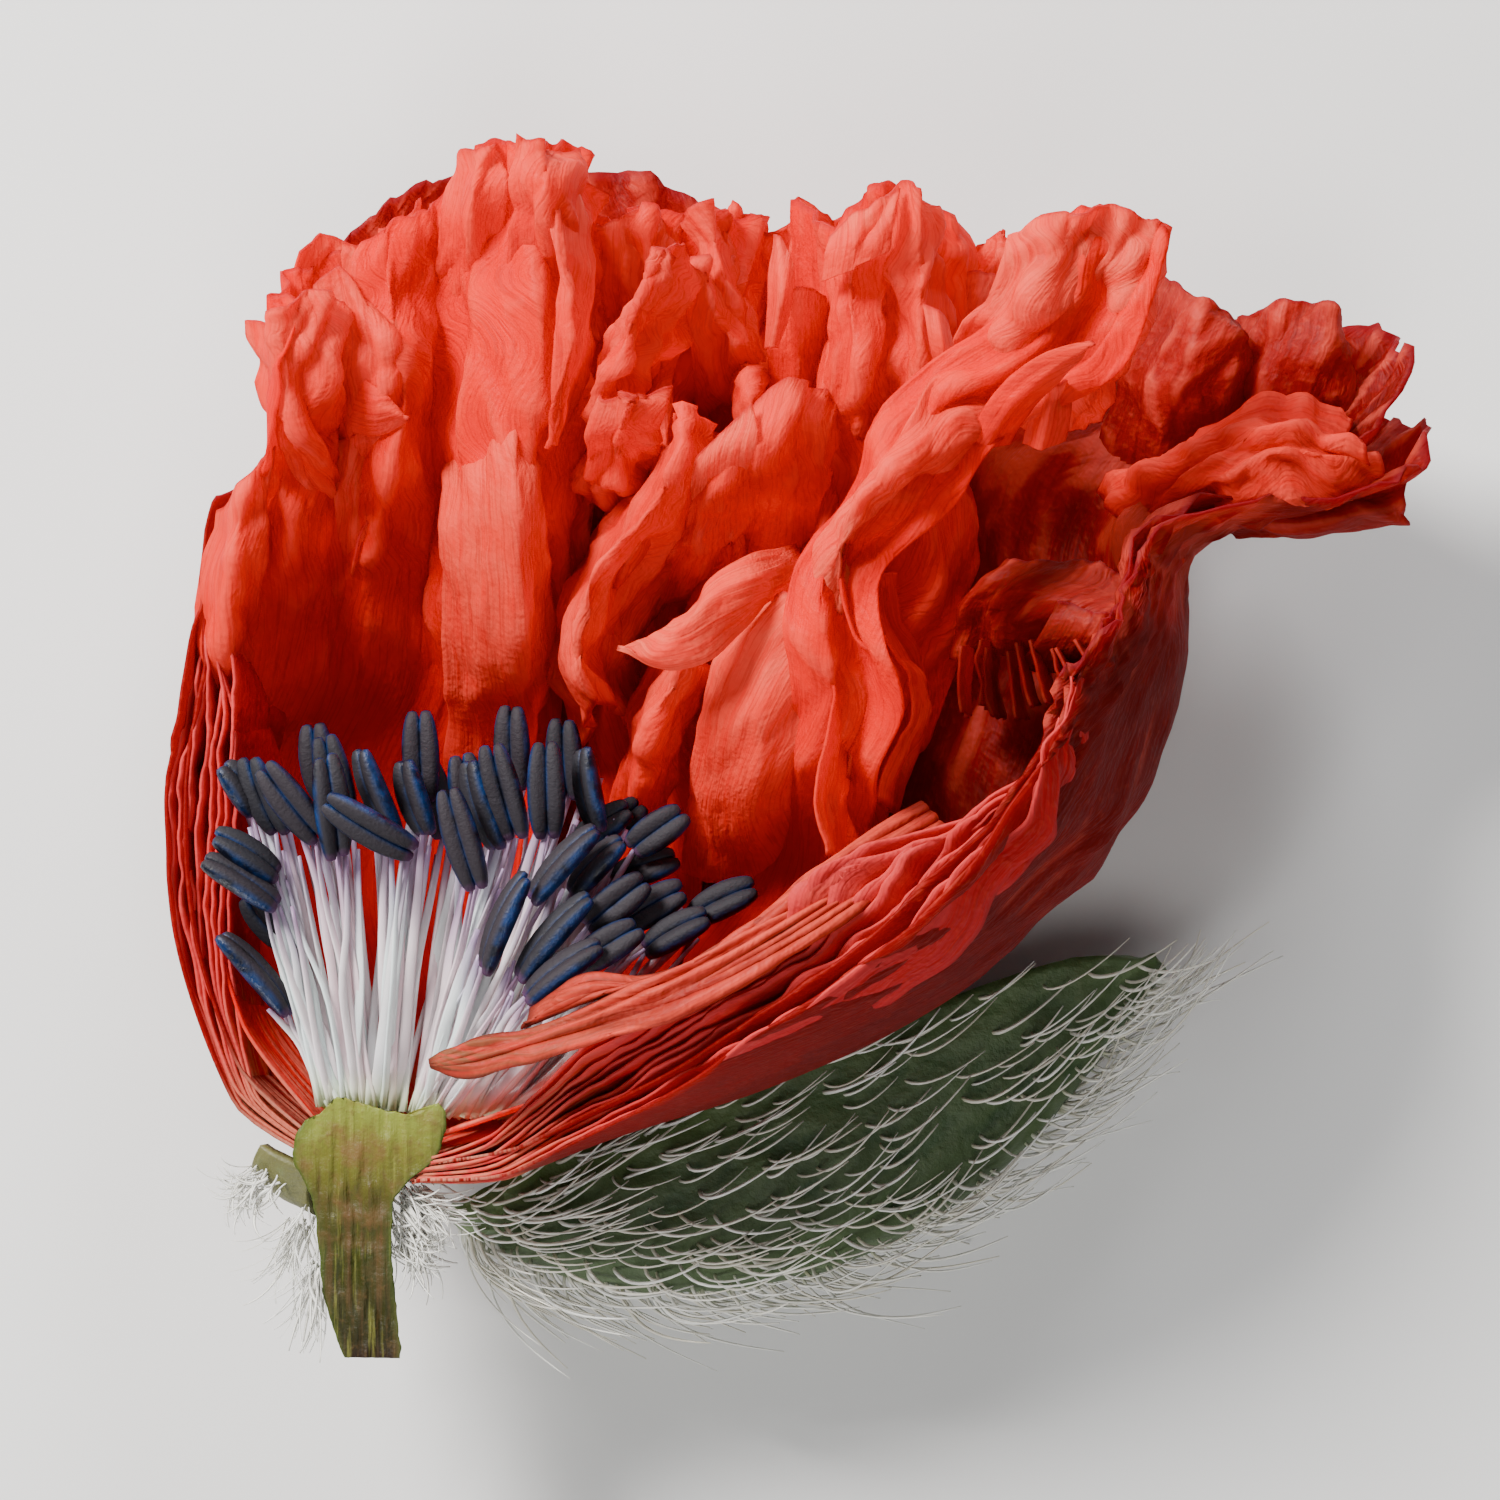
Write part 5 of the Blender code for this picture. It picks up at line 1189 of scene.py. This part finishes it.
def filamentMaterial():
    r = Recipe("filamentSilk")
    along, tone = r.attribute("along"), r.attribute("tone")
    where = r.place()
    streak = r.noise(r.stretched(where, 1500.0, 200.0, 900.0), 1.0, 3.0, 0.6)
    white = r.mix(tone, (0.84, 0.95, 0.94), (0.88, 0.66, 0.71))
    colour = r.mix(r.between(along, 0.16, 0.0), white, (0.74, 0.82, 0.52))
    colour = r.mix(r.between(along + (streak - 0.5) * 0.25, 0.60, 0.95) * 0.85, colour, (0.27, 0.13, 0.32))
    colour = r.mix(r.between(streak, 0.5, 0.75) * 0.2, colour, (0.66, 0.52, 0.62))
    normal = r.bump(streak, 0.00008, 0.6)
    skin = r.add("ShaderNodeBsdfPrincipled", None, {
        "Base Color": colour, "Roughness": 0.32, "Normal": normal, "Specular IOR Level": 0.5})[0]
    through = r.add("ShaderNodeBsdfTranslucent", None, {"Color": (0.85, 0.84, 0.84, 1.0)})[0]
    return r.finish(r.add("ShaderNodeMixShader", None, {0: 0.22, 1: skin, 2: through})[0])


antherVelvet, filamentSilk = antherMaterial(), filamentMaterial()


# The two pollen sacs of one anther: grids, how much each point faces out and how far along it is
def antherSacs(tip, foot, roll, chance):
    axis = tip - foot
    length = np.linalg.norm(axis)
    ahead = axis / length
    side = np.cross(ahead, (0.0, 0.0, 1.0))
    side /= np.linalg.norm(side)
    rise = np.cross(side, ahead)
    side, rise = side * math.cos(roll) + rise * math.sin(roll), rise * math.cos(roll) - side * math.sin(roll)
    rings, sides = 12, 14
    polar = np.linspace(0, np.pi, rings)
    a = 0.5 - 0.5 * np.sign(np.cos(polar)) * np.abs(np.cos(polar)) ** 0.8
    girth = np.sin(polar) ** 0.55 * (0.92 + 0.12 * np.sin(np.pi * a))
    around = np.linspace(0, 2 * np.pi, sides + 1)
    around[-1] = 0.0
    sacs = []
    for hand in (-1, 1):
        dent = 1.0 - 0.13 * np.exp(-((around - np.pi / 2 - hand * 0.25) / 0.28) ** 2)
        x = np.cos(around)[None] * girth[:, None] * stamens["lobeWide"] * dent[None]
        z = np.sin(around)[None] * girth[:, None] * stamens["lobeThick"] * dent[None]
        x = x + hand * (stamens["lobeApart"] * (0.75 + 0.25 * np.sin(np.pi * a)) + chance.uniform(-0.03, 0.03))[:, None]
        bow = 0.18 * (a - 0.5) ** 2 * length
        slip = hand * chance.uniform(-0.12, 0.12)
        grid = (foot + ahead * (a * length + slip)[:, None, None] + side * x[..., None]
                + rise * (z - bow[:, None])[..., None])
        sacs.append((grid, np.clip(np.sin(around), 0, 1)[None] * np.ones((rings, 1)), a[:, None] * np.ones(sides + 1)))
    return sacs


for bunch in ("left", "right"):
    chance = np.random.default_rng(71 if bunch == "left" else 72)
    rows = stamens[bunch]
    first, last = (np.array(p) for p in stamens["roots"][bunch])
    order = np.argsort(np.argsort([row[2] for row in rows])) / (len(rows) - 1)
    sacs, faces, alongs, tones = [], [], [], []
    strands, tints, feet = [], [], []
    for number, row in enumerate(rows):
        tip = np.array([row[0], row[1], row[4] + stamens["anthersLift"]])
        foot = np.array([row[2], row[3], row[4] - stamens["anthersLift"]])
        tone = chance.uniform()
        for grid, face, along in antherSacs(tip, foot, math.radians(stamens["rolls"][bunch][number]), chance):
            sacs.append(grid)
            faces.append(face)
            alongs.append(along)
            tones.append(tone)
        feet.append((foot, tip, order[number]))
    for number in range(len(rows) + stamens["extra"][bunch]):
        foot, tip, share = feet[number % len(feet)]
        extra = number >= len(feet)
        share = np.clip(share + chance.normal(0, 0.10 if extra else 0.03), 0, 1)
        root = first + (last - first) * share + chance.normal(0, 0.12, 3) * (1, 0.3, 1)
        end = foot + (tip - foot) * 0.12 - (0, 0, 0.25)
        if extra:
            end = end + chance.normal(0, 0.7, 3) * (1, 0.8, 0.3) - (0, 0, chance.uniform(0.3, 1.6))
        middle = (root + end) / 2 + (0, 0, 0.18 * (end[2] - root[2])) + chance.normal(0, 0.28, 3)
        quarter = (root + middle) / 2 + chance.normal(0, 0.10, 3) - (0, 0, 0.1)
        v = np.linspace(0, 1, stamens["filamentPoints"])
        line = spline([root, quarter, middle, (middle + end) / 2 + chance.normal(0, 0.14, 3), end], v)
        wide = stamens["filamentWide"] * chance.uniform(0.75, 1.25) * (1.0 - 0.55 * v**3)
        strands.append(strand(line, wide, stamens["filamentThick"] * (1.15 - 0.4 * v), 8, chance.uniform(-0.9, 0.9)))
        tints.append(chance.uniform() ** 1.6)
    numbers = {"face": faces, "along": alongs, "tone": tones}
    anthers = makeMany("anthers_" + bunch, sacs, antherVelvet, numbers)
    v = np.concatenate([[0], np.linspace(0, 1, stamens["filamentPoints"]), [1]])[:, None] * np.ones(9)
    numbers = {"along": [v] * len(strands), "tone": tints}
    filaments = makeMany("filaments_" + bunch, strands, filamentSilk, numbers)
    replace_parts(anthers, "stamens_" + bunch)
    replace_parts(filaments, "stamens_" + bunch)
print("stamens made")

# Receptacle and stem
stem = {
    "sections": (  # up, left edge, right edge, depth behind the cut face
        (-10.9, -1.8, 1.0, 1.2), (-10.2, -2.1, 1.0, 1.5), (-8.0, -2.8, 0.8, 1.8), (-5.5, -3.1, 0.6, 1.9),
        (-3.2, -3.4, 0.7, 2.0), (-2.0, -3.9, 1.5, 2.3), (-1.0, -4.4, 2.9, 2.6), (0.0, -4.3, 3.3, 2.4),
        (0.9, -3.8, 3.3, 1.7)),
    "top": ((-3.8, 1.0), (-3.0, 1.3), (-2.2, 2.2), (-0.8, 1.8), (0.6, 1.4), (1.9, 1.3), (3.0, 1.9), (3.4, 1.3)),
    "tilt": 0.2,
    "rings": 90,
    "around": 44,
    "acrossFace": 40,
    "relief": 0.16,
}


def stemMaterial():
    r = Recipe("cutStem")
    where = r.place()
    face, up = r.attribute("face"), r.attribute("up")
    fibres = r.noise(r.stretched(where, 2600.0, 160.0, 900.0), 1.0, 4.0, 0.6)
    blot = r.noise(where, 700.0, 4.0, 0.6)
    speck = r.noise(where, 3000.0, 3.0, 0.6)
    flesh = r.ramp(up, (0.0, 0.014, 0.006, 0.003), (0.07, 0.016, 0.014, 0.003), (0.45, 0.024, 0.028, 0.004),
                   (0.66, 0.050, 0.044, 0.008), (0.84, 0.105, 0.105, 0.014), (1.0, 0.17, 0.20, 0.028))
    colour = r.mix(r.between(fibres, 0.56, 0.68) * 0.45, flesh, (0.22, 0.22, 0.045))
    colour = r.mix(r.between(fibres, 0.50, 0.38) * r.between(up, 1.0, 0.55) * 0.8, colour, (0.055, 0.032, 0.010))
    colour = r.mix(r.between(blot, 0.50, 0.70) * r.between(up, 0.2, 0.7) * 0.65, colour, (0.12, 0.050, 0.018))
    colour = r.mix(r.between(speck, 0.56, 0.70) * 0.4, colour, (0.085, 0.050, 0.016))
    colour = r.mix(r.between(face, 0.75, 0.2) * 0.75, colour, (0.045, 0.07, 0.012))
    rough = 0.30 + blot * 0.35
    normal = r.bump(fibres * 0.7 + speck * 0.4 + blot * 0.5, 0.00016, 0.9)
    return r.finish(r.add("ShaderNodeBsdfPrincipled", None, {
        "Base Color": colour, "Roughness": rough, "Normal": normal, "Specular IOR Level": 0.2})[0])


def stemGrid():
    sections = spline(stem["sections"], np.linspace(0, 1, stem["rings"]))
    topX, topY = np.array(stem["top"]).T
    bottom, top = stem["sections"][0][0], stem["sections"][-1][0]
    rings, faces, ups = [], [], []
    for up, left, right, depth in sections:
        left = left + 0.10 * float(softNoise(up / 0.9, 0.0, 90)) + 0.04 * float(softNoise(up / 0.3, 3.0, 91))
        right = right + 0.10 * float(softNoise(up / 0.9, 5.0, 92)) + 0.04 * float(softNoise(up / 0.3, 9.0, 93))
        middle, half = (left + right) / 2, (right - left) / 2
        back = np.linspace(2 * np.pi, np.pi, stem["around"])
        x = np.concatenate([middle + half * np.cos(back), np.linspace(left, right, stem["acrossFace"])[1:]])
        z = np.concatenate([depth * np.sin(back), np.zeros(stem["acrossFace"] - 1)])
        face = np.concatenate([np.zeros(stem["around"]), np.sin(np.linspace(0, np.pi, stem["acrossFace"]))[1:] ** 0.3])
        x[-1] = x[0]
        crumbs = softNoise(x / 0.35, up / 2.0 + 0 * x, 95) + 0.6 * softNoise(x / 0.9, up / 0.9 + 0 * x, 96)
        z = z + stem["relief"] * crumbs * face
        z[-1] = z[0]
        share = smooth(up, -2.2, top)
        y = up + share * (np.interp(x, topX, topY) - top) * (1 + 0.25 * np.minimum(z, 0))
        y = y + 0.10 * share * softNoise(x / 0.5, z / 0.5, 97)
        y[-1] = y[0]
        rings.append(np.stack([x, y, z + stem["tilt"] * x], -1))
        faces.append(face)
        ups.append(np.full(len(x), (up - bottom) / (top - bottom)))
    for ring, sink, atTop in ((rings[0], 0.12, False), (rings[-1], -1.1, True)):
        middle = ring.mean(axis=0)
        for step in (0.85, 0.6, 0.3, 0.0):
            inner = middle + (ring - middle) * step
            inner[:, 1] += sink * (1 - step) ** 1.5
            inner[:, 1] += 0.08 * softNoise(inner[:, 0] / 0.5, inner[:, 2] / 0.5, 98) * (step > 0)
            inner[-1] = inner[0]
            rings.insert(len(rings) if atTop else 0, inner)
            faces.insert(len(faces) if atTop else 0, np.ones(len(ring)) * 0.9)
            ups.insert(len(ups) if atTop else 0, np.full(len(ring), 1.0 if atTop else 0.0))
    return np.array(rings), np.array(faces), np.array(ups)


grid, faces, ups = stemGrid()
stalk = makeMany("stem_and_receptacle", [grid], stemMaterial(), {"face": [faces], "up": [ups]})
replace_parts(stalk, "stem_receptacle")

# Sepal, what is left of the other one, and their bristles
sepal = {
    "upperTurn": 0.70,
    "clear": 1.2,
    "tip": (-0.4, 0.5, 1.4),
    "along": (-0.8, 24.5),
    "crown": ((3.8, -4.4, -5.3), (8.0, -6.2, -5.4), (15.0, -7.4, -6.4), (23.5, -6.0, -7.4), (32.0, -0.8, -8.6),
              (39.6, 8.4, -9.4)),
    "lower": ((3.2, -3.9, -7.2), (7.0, -4.2, -11.0), (14.0, -4.4, -14.4), (22.0, -2.2, -15.0), (31.0, 2.2, -13.8),
              (39.2, 8.0, -10.8)),
    "thickness": 0.6,
    "rows": 120,
    "columns": 64,
    "scarUpper": ((-5.9, -0.3, -1.8), (-4.9, -0.9, -1.3), (-3.4, -1.5, -1.1)),
    "scarLower": ((-5.9, -1.7, -4.0), (-4.8, -2.8, -3.8), (-2.7, -3.9, -2.9)),
    "scarBulge": (-0.5, -0.5, 0.0),
}
bristles = {
    "count": 520,
    "length": (3.4, 6.8),
    "wide": 0.115,
    "points": 12,
    "lift": 0.9,
}


def sepalMaterial(name, upperColour):
    r = Recipe(name)
    where = r.place()
    lumpHighlight, upper = r.attribute("broad"), r.attribute("upper")
    cells = r.noise(where, 1600.0, 4.0, 0.6)
    blot = r.noise(where, 240.0, 3.0, 0.55)
    colour = r.mix(r.between(blot, 0.35, 0.7), (0.020, 0.050, 0.014), (0.050, 0.095, 0.028))
    colour = r.mix(upper * 0.75, colour, upperColour)
    colour = r.mix(r.between(cells, 0.55, 0.75) * 0.35, colour, (0.13, 0.17, 0.08))
    # Painted highlight: raised lumps lighter green
    colour = r.mix(r.between(lumpHighlight, 0.0, 0.12) * 0.5, colour, (0.09, 0.13, 0.05))
    normal = r.bump(cells * 0.8 + blot, 0.0002, 0.8)
    return r.finish(r.add("ShaderNodeBsdfPrincipled", None, {
        "Base Color": colour, "Roughness": 0.45 + cells * 0.2, "Normal": normal, "Specular IOR Level": 0.45})[0])


def bristleMaterial():
    r = Recipe("bristleWhite")
    along, tone = r.attribute("along"), r.attribute("tone")
    colour = r.mix(r.between(along, 0.16, 0.0), r.mix(tone, (0.90, 0.90, 0.86), (0.74, 0.70, 0.58)), (0.30, 0.34, 0.16))
    skin = r.add("ShaderNodeBsdfPrincipled", None, {
        "Base Color": colour, "Roughness": 0.28, "Specular IOR Level": 0.6})[0]
    through = r.add("ShaderNodeBsdfTranslucent", None, {"Color": (0.8, 0.8, 0.76, 1.0)})[0]
    return r.finish(r.add("ShaderNodeMixShader", None, {0: 0.2, 1: skin, 2: through})[0])


sepalSkin, bristleWhite = sepalMaterial("sepalSkin", (0.11, 0.17, 0.045)), bristleMaterial()
scarSkin = sepalMaterial("scarSkin", (0.15, 0.12, 0.035))
v = np.linspace(0, 1, len(sepal["crown"]))
first, last = sepal["along"]
wall, inward = budWall(first + (last - first) * v, np.full_like(v, sepal["upperTurn"]))[:2]
upperEdge = leaned(wall - inward * sepal["clear"])
sepalTip = np.array(sepal["crown"][-1]) + sepal["tip"]
upperEdge += (sepalTip - upperEdge) * smooth(v, 0.6, 1.0)[:, None]
grid = archedSheet(upperEdge, sepal["crown"], sepal["lower"], sepal["rows"], sepal["columns"])
across, along = arcs(grid)
lumps = 0.16 * softNoise(across * 10 / 1.6, along * 10 / 2.4, 301)
lumps = lumps + 0.07 * softNoise(across * 10 / 0.6, along * 10 / 0.8, 302)
sepalOut = wayOut(grid)
grid = grid + sepalOut * lumps[..., None]
grid[..., 2] = np.maximum(grid[..., 2], sepal["thickness"] / 2 - bud["axisHeight"])
fine, broad = ridges(grid)
upperShare = (1.0 - smooth(across * 10, 0.4, 4.5)) * (1 - 0.6 * smooth(along * 10, 4, 22))
numbers = {"broad": fine * 2 + broad, "upper": upperShare}
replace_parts(makeSheet("sepal_bristly", grid, sepal["thickness"], sepalSkin, numbers), "sepal")
sepalGrid = grid

scarCrown = (np.array(sepal["scarUpper"]) + sepal["scarLower"]) / 2 + sepal["scarBulge"]
grid = archedSheet(sepal["scarUpper"], scarCrown, sepal["scarLower"], 40, 30)
grid = grid + wayOut(grid) * (0.12 * softNoise(arcs(grid)[0] * 8, arcs(grid)[1] * 8, 311))[..., None]
fine = ridges(grid)[0]
numbers = {"broad": fine, "upper": np.ones_like(fine) * 0.8}
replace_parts(makeSheet("sepal_scar_torn", grid, sepal["thickness"], scarSkin, numbers), "sepal_scar_left")


def bristlePath(root, out, onward, length, sideways, points):  # stands out of the skin, then sweeps towards the tip
    s = np.linspace(0, 1, points)[:, None]
    climb = bristles["lift"] * length * (1 - (1 - s) ** 2.6) * 0.42
    run = length * (0.12 * s + 0.80 * s**1.5)
    return root + out * climb + onward * run + sideways * (length * (0.60 * s - 0.76 * s**2))


chance = np.random.default_rng(400)
grids, tints = [], []
rows, columns = sepalGrid.shape[:2]
onwardAll = np.gradient(sepalGrid, axis=0)
onwardAll /= np.linalg.norm(onwardAll, axis=-1, keepdims=True)
acrossAll = np.gradient(sepalGrid, axis=1)
acrossAll /= np.linalg.norm(acrossAll, axis=-1, keepdims=True)
for number in range(bristles["count"]):
    i = int(np.clip(chance.uniform(0.02, 0.99) ** 1.05, 0, 1) * (rows - 1))
    j = int(np.clip((number * 0.618034 + chance.uniform(-0.02, 0.02)) % 1.0, 0.02, 0.98) * (columns - 1))
    root, out, onward, side = sepalGrid[i, j], sepalOut[i, j], onwardAll[i, j], acrossAll[i, j]
    length = chance.uniform(*bristles["length"]) * (0.72 + 0.55 * j / columns)
    path = bristlePath(root + out * 0.1, out + chance.normal(0, 0.12, 3), onward + chance.normal(0, 0.13, 3), length,
                       side * chance.uniform(0.5, 1.3), bristles["points"])
    path[:, 2] = np.maximum(path[:, 2], 0.1 - bud["axisHeight"])
    v = np.linspace(0, 1, bristles["points"])
    wide = bristles["wide"] * (0.55 + 0.45 * chance.uniform()) * (1.15 - v) ** 0.6
    grids.append(strand(path, wide, wide, 4))
    tints.append(chance.uniform())
v = np.concatenate([[0], np.linspace(0, 1, bristles["points"]), [1]])[:, None] * np.ones(5)
makeMany("bristles_sepal", grids, bristleWhite, {"along": [v] * len(grids), "tone": tints})

# Tufts of flat white hairs beside the stem: root, way, spread, number, length, curl
tuftHairWide = 0.085
tufts = {
    "underFlange": ((-6.0, -2.2, -1.8), (-0.70, -0.75, 0.30), 1.1, 70, (1.4, 2.8), 0.9),
    "leftOfStem": ((-4.0, -4.2, -2.0), (-0.45, -1.0, 0.25), 0.8, 46, (2.4, 5.2), 0.55),
    "rightOfStem": ((1.5, -2.9, -1.2), (0.75, -0.75, 0.35), 1.1, 120, (1.8, 4.0), 0.45),
    "rightLower": ((1.1, -4.9, -1.2), (0.70, -0.65, 0.20), 0.9, 80, (1.6, 3.6), 0.6),
    "sheath": ((-3.3, -6.4, -1.0), (-0.12, -1.0, 0.05), 0.5, 34, (3.0, 5.0), 0.3),
}
chance = np.random.default_rng(410)
grids, tints = [], []
for root, way, spread, count, lengths, curl in tufts.values():
    for _ in range(count):
        start = np.array(root) + chance.normal(0, 0.45, 3) * (spread, spread, 0.6)
        aim = np.array(way) + chance.normal(0, 0.30, 3)
        aim /= np.linalg.norm(aim)
        length = chance.uniform(*lengths)
        s = np.linspace(0, 1, bristles["points"])[:, None]
        across = np.cross(aim, (0.0, 0.0, 1.0)) * chance.choice([-1.0, 1.0])
        bend = across * curl * chance.uniform(0.4, 1.2) + chance.normal(0, 0.12, 3)
        path = start + aim * (length * (s - 0.35 * curl * s**3)) + bend * length * 0.7 * s**2
        path[:, 2] = np.minimum(path[:, 2], start[2] + 2.2)
        v = s[:, 0]
        wide = tuftHairWide * chance.uniform(0.6, 1.2) * (1.2 - v) ** 0.6
        grids.append(strand(path, wide, wide * 0.45, 4, chance.uniform(0, 3)))
        tints.append(chance.uniform() * 0.4)
v = np.concatenate([[0.3], np.linspace(0.3, 1, bristles["points"]), [1]])[:, None] * np.ones(5)
makeMany("hair_tufts", grids, bristleWhite, {"along": [v] * len(grids), "tone": tints})
print("stem, sepal and hairs made")

# Camera, light and floor
view = {
    "middle": (18.5, 19.5),  # right and up from the receptacle
    "height": 0.40,
    "width": 0.075,
    "clipStart": 0.01,
    "lamps": (  # name, place, what it shines on, size, power, colour
        ("key", (-0.25, 0.26, 0.29), (0.0, 0.0, 0.015), 0.16, 6.0, (1.0, 0.97, 0.94)),
        ("topLight", (0.10, 0.42, 0.22), (0.01, 0.0, 0.015), 0.14, 1.2, (0.96, 0.98, 1.0)),
        ("fill", (0.03, -0.14, 0.38), (0.0, 0.0, 0.01), 0.20, 0.45, (1.0, 0.98, 0.96)),
        ("lowLight", (-0.16, -0.34, 0.16), (0.0, -0.025, 0.01), 0.10, 0.8, (1.0, 1.0, 1.0))),
    "skyColour": (0.9, 0.93, 1.0, 1.0),
    "skyStrength": 0.10,
    "floorSize": 3.0,
}


def addLamp(name, place, target, size, power, colour):
    lamp = bpy.data.lights.new(name, "AREA")
    lamp.shape = "DISK"
    lamp.size = size
    lamp.energy = power
    lamp.color = colour
    obj = bpy.data.objects.new(name, lamp)
    bpy.context.scene.collection.objects.link(obj)
    obj.location = place
    obj.rotation_euler = (Vector(target) - Vector(place)).to_track_quat("-Z", "Y").to_euler()


spot = toWorld((view["middle"][0], view["middle"][1], 0.0))
camera = bpy.data.cameras.new("camera")
camera.lens = camera.sensor_width * view["height"] / view["width"]
camera.clip_start = view["clipStart"]
cameraObject = bpy.data.objects.new("camera", camera)
bpy.context.scene.collection.objects.link(cameraObject)
cameraObject.location = (spot[0], spot[1], view["height"] + bud["axisHeight"] * mm)
bpy.context.scene.camera = cameraObject

for lamp in view["lamps"]:
    addLamp(*lamp)
world = bpy.data.worlds.new("studio")
world.use_nodes = True
sky = world.node_tree.nodes["Background"].inputs
sky["Color"].default_value = view["skyColour"]
sky["Strength"].default_value = view["skyStrength"]
bpy.context.scene.world = world

deselectAll()
bpy.ops.mesh.primitive_plane_add(size=view["floorSize"], location=(0.0, 0.0, 0.0))
floor = bpy.context.object
floor.name = "floor"
r = Recipe("palePaper")
tone = r.noise(r.place(), 40.0, 1.0, 0.6)
paper = r.add("ShaderNodeBsdfPrincipled", None, {
    "Base Color": r.ramp(tone, (0.3, 0.80, 0.80, 0.79), (0.7, 0.83, 0.83, 0.82)), "Roughness": 0.85})[0]
floor.data.materials.append(r.finish(paper))
floor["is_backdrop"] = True

visualBox = [list(corner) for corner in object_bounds()]
for label, box in (("cad box", cadBox), ("visual box", visualBox)):
    print(label, np.round(np.array(box) / mm, 1).tolist())
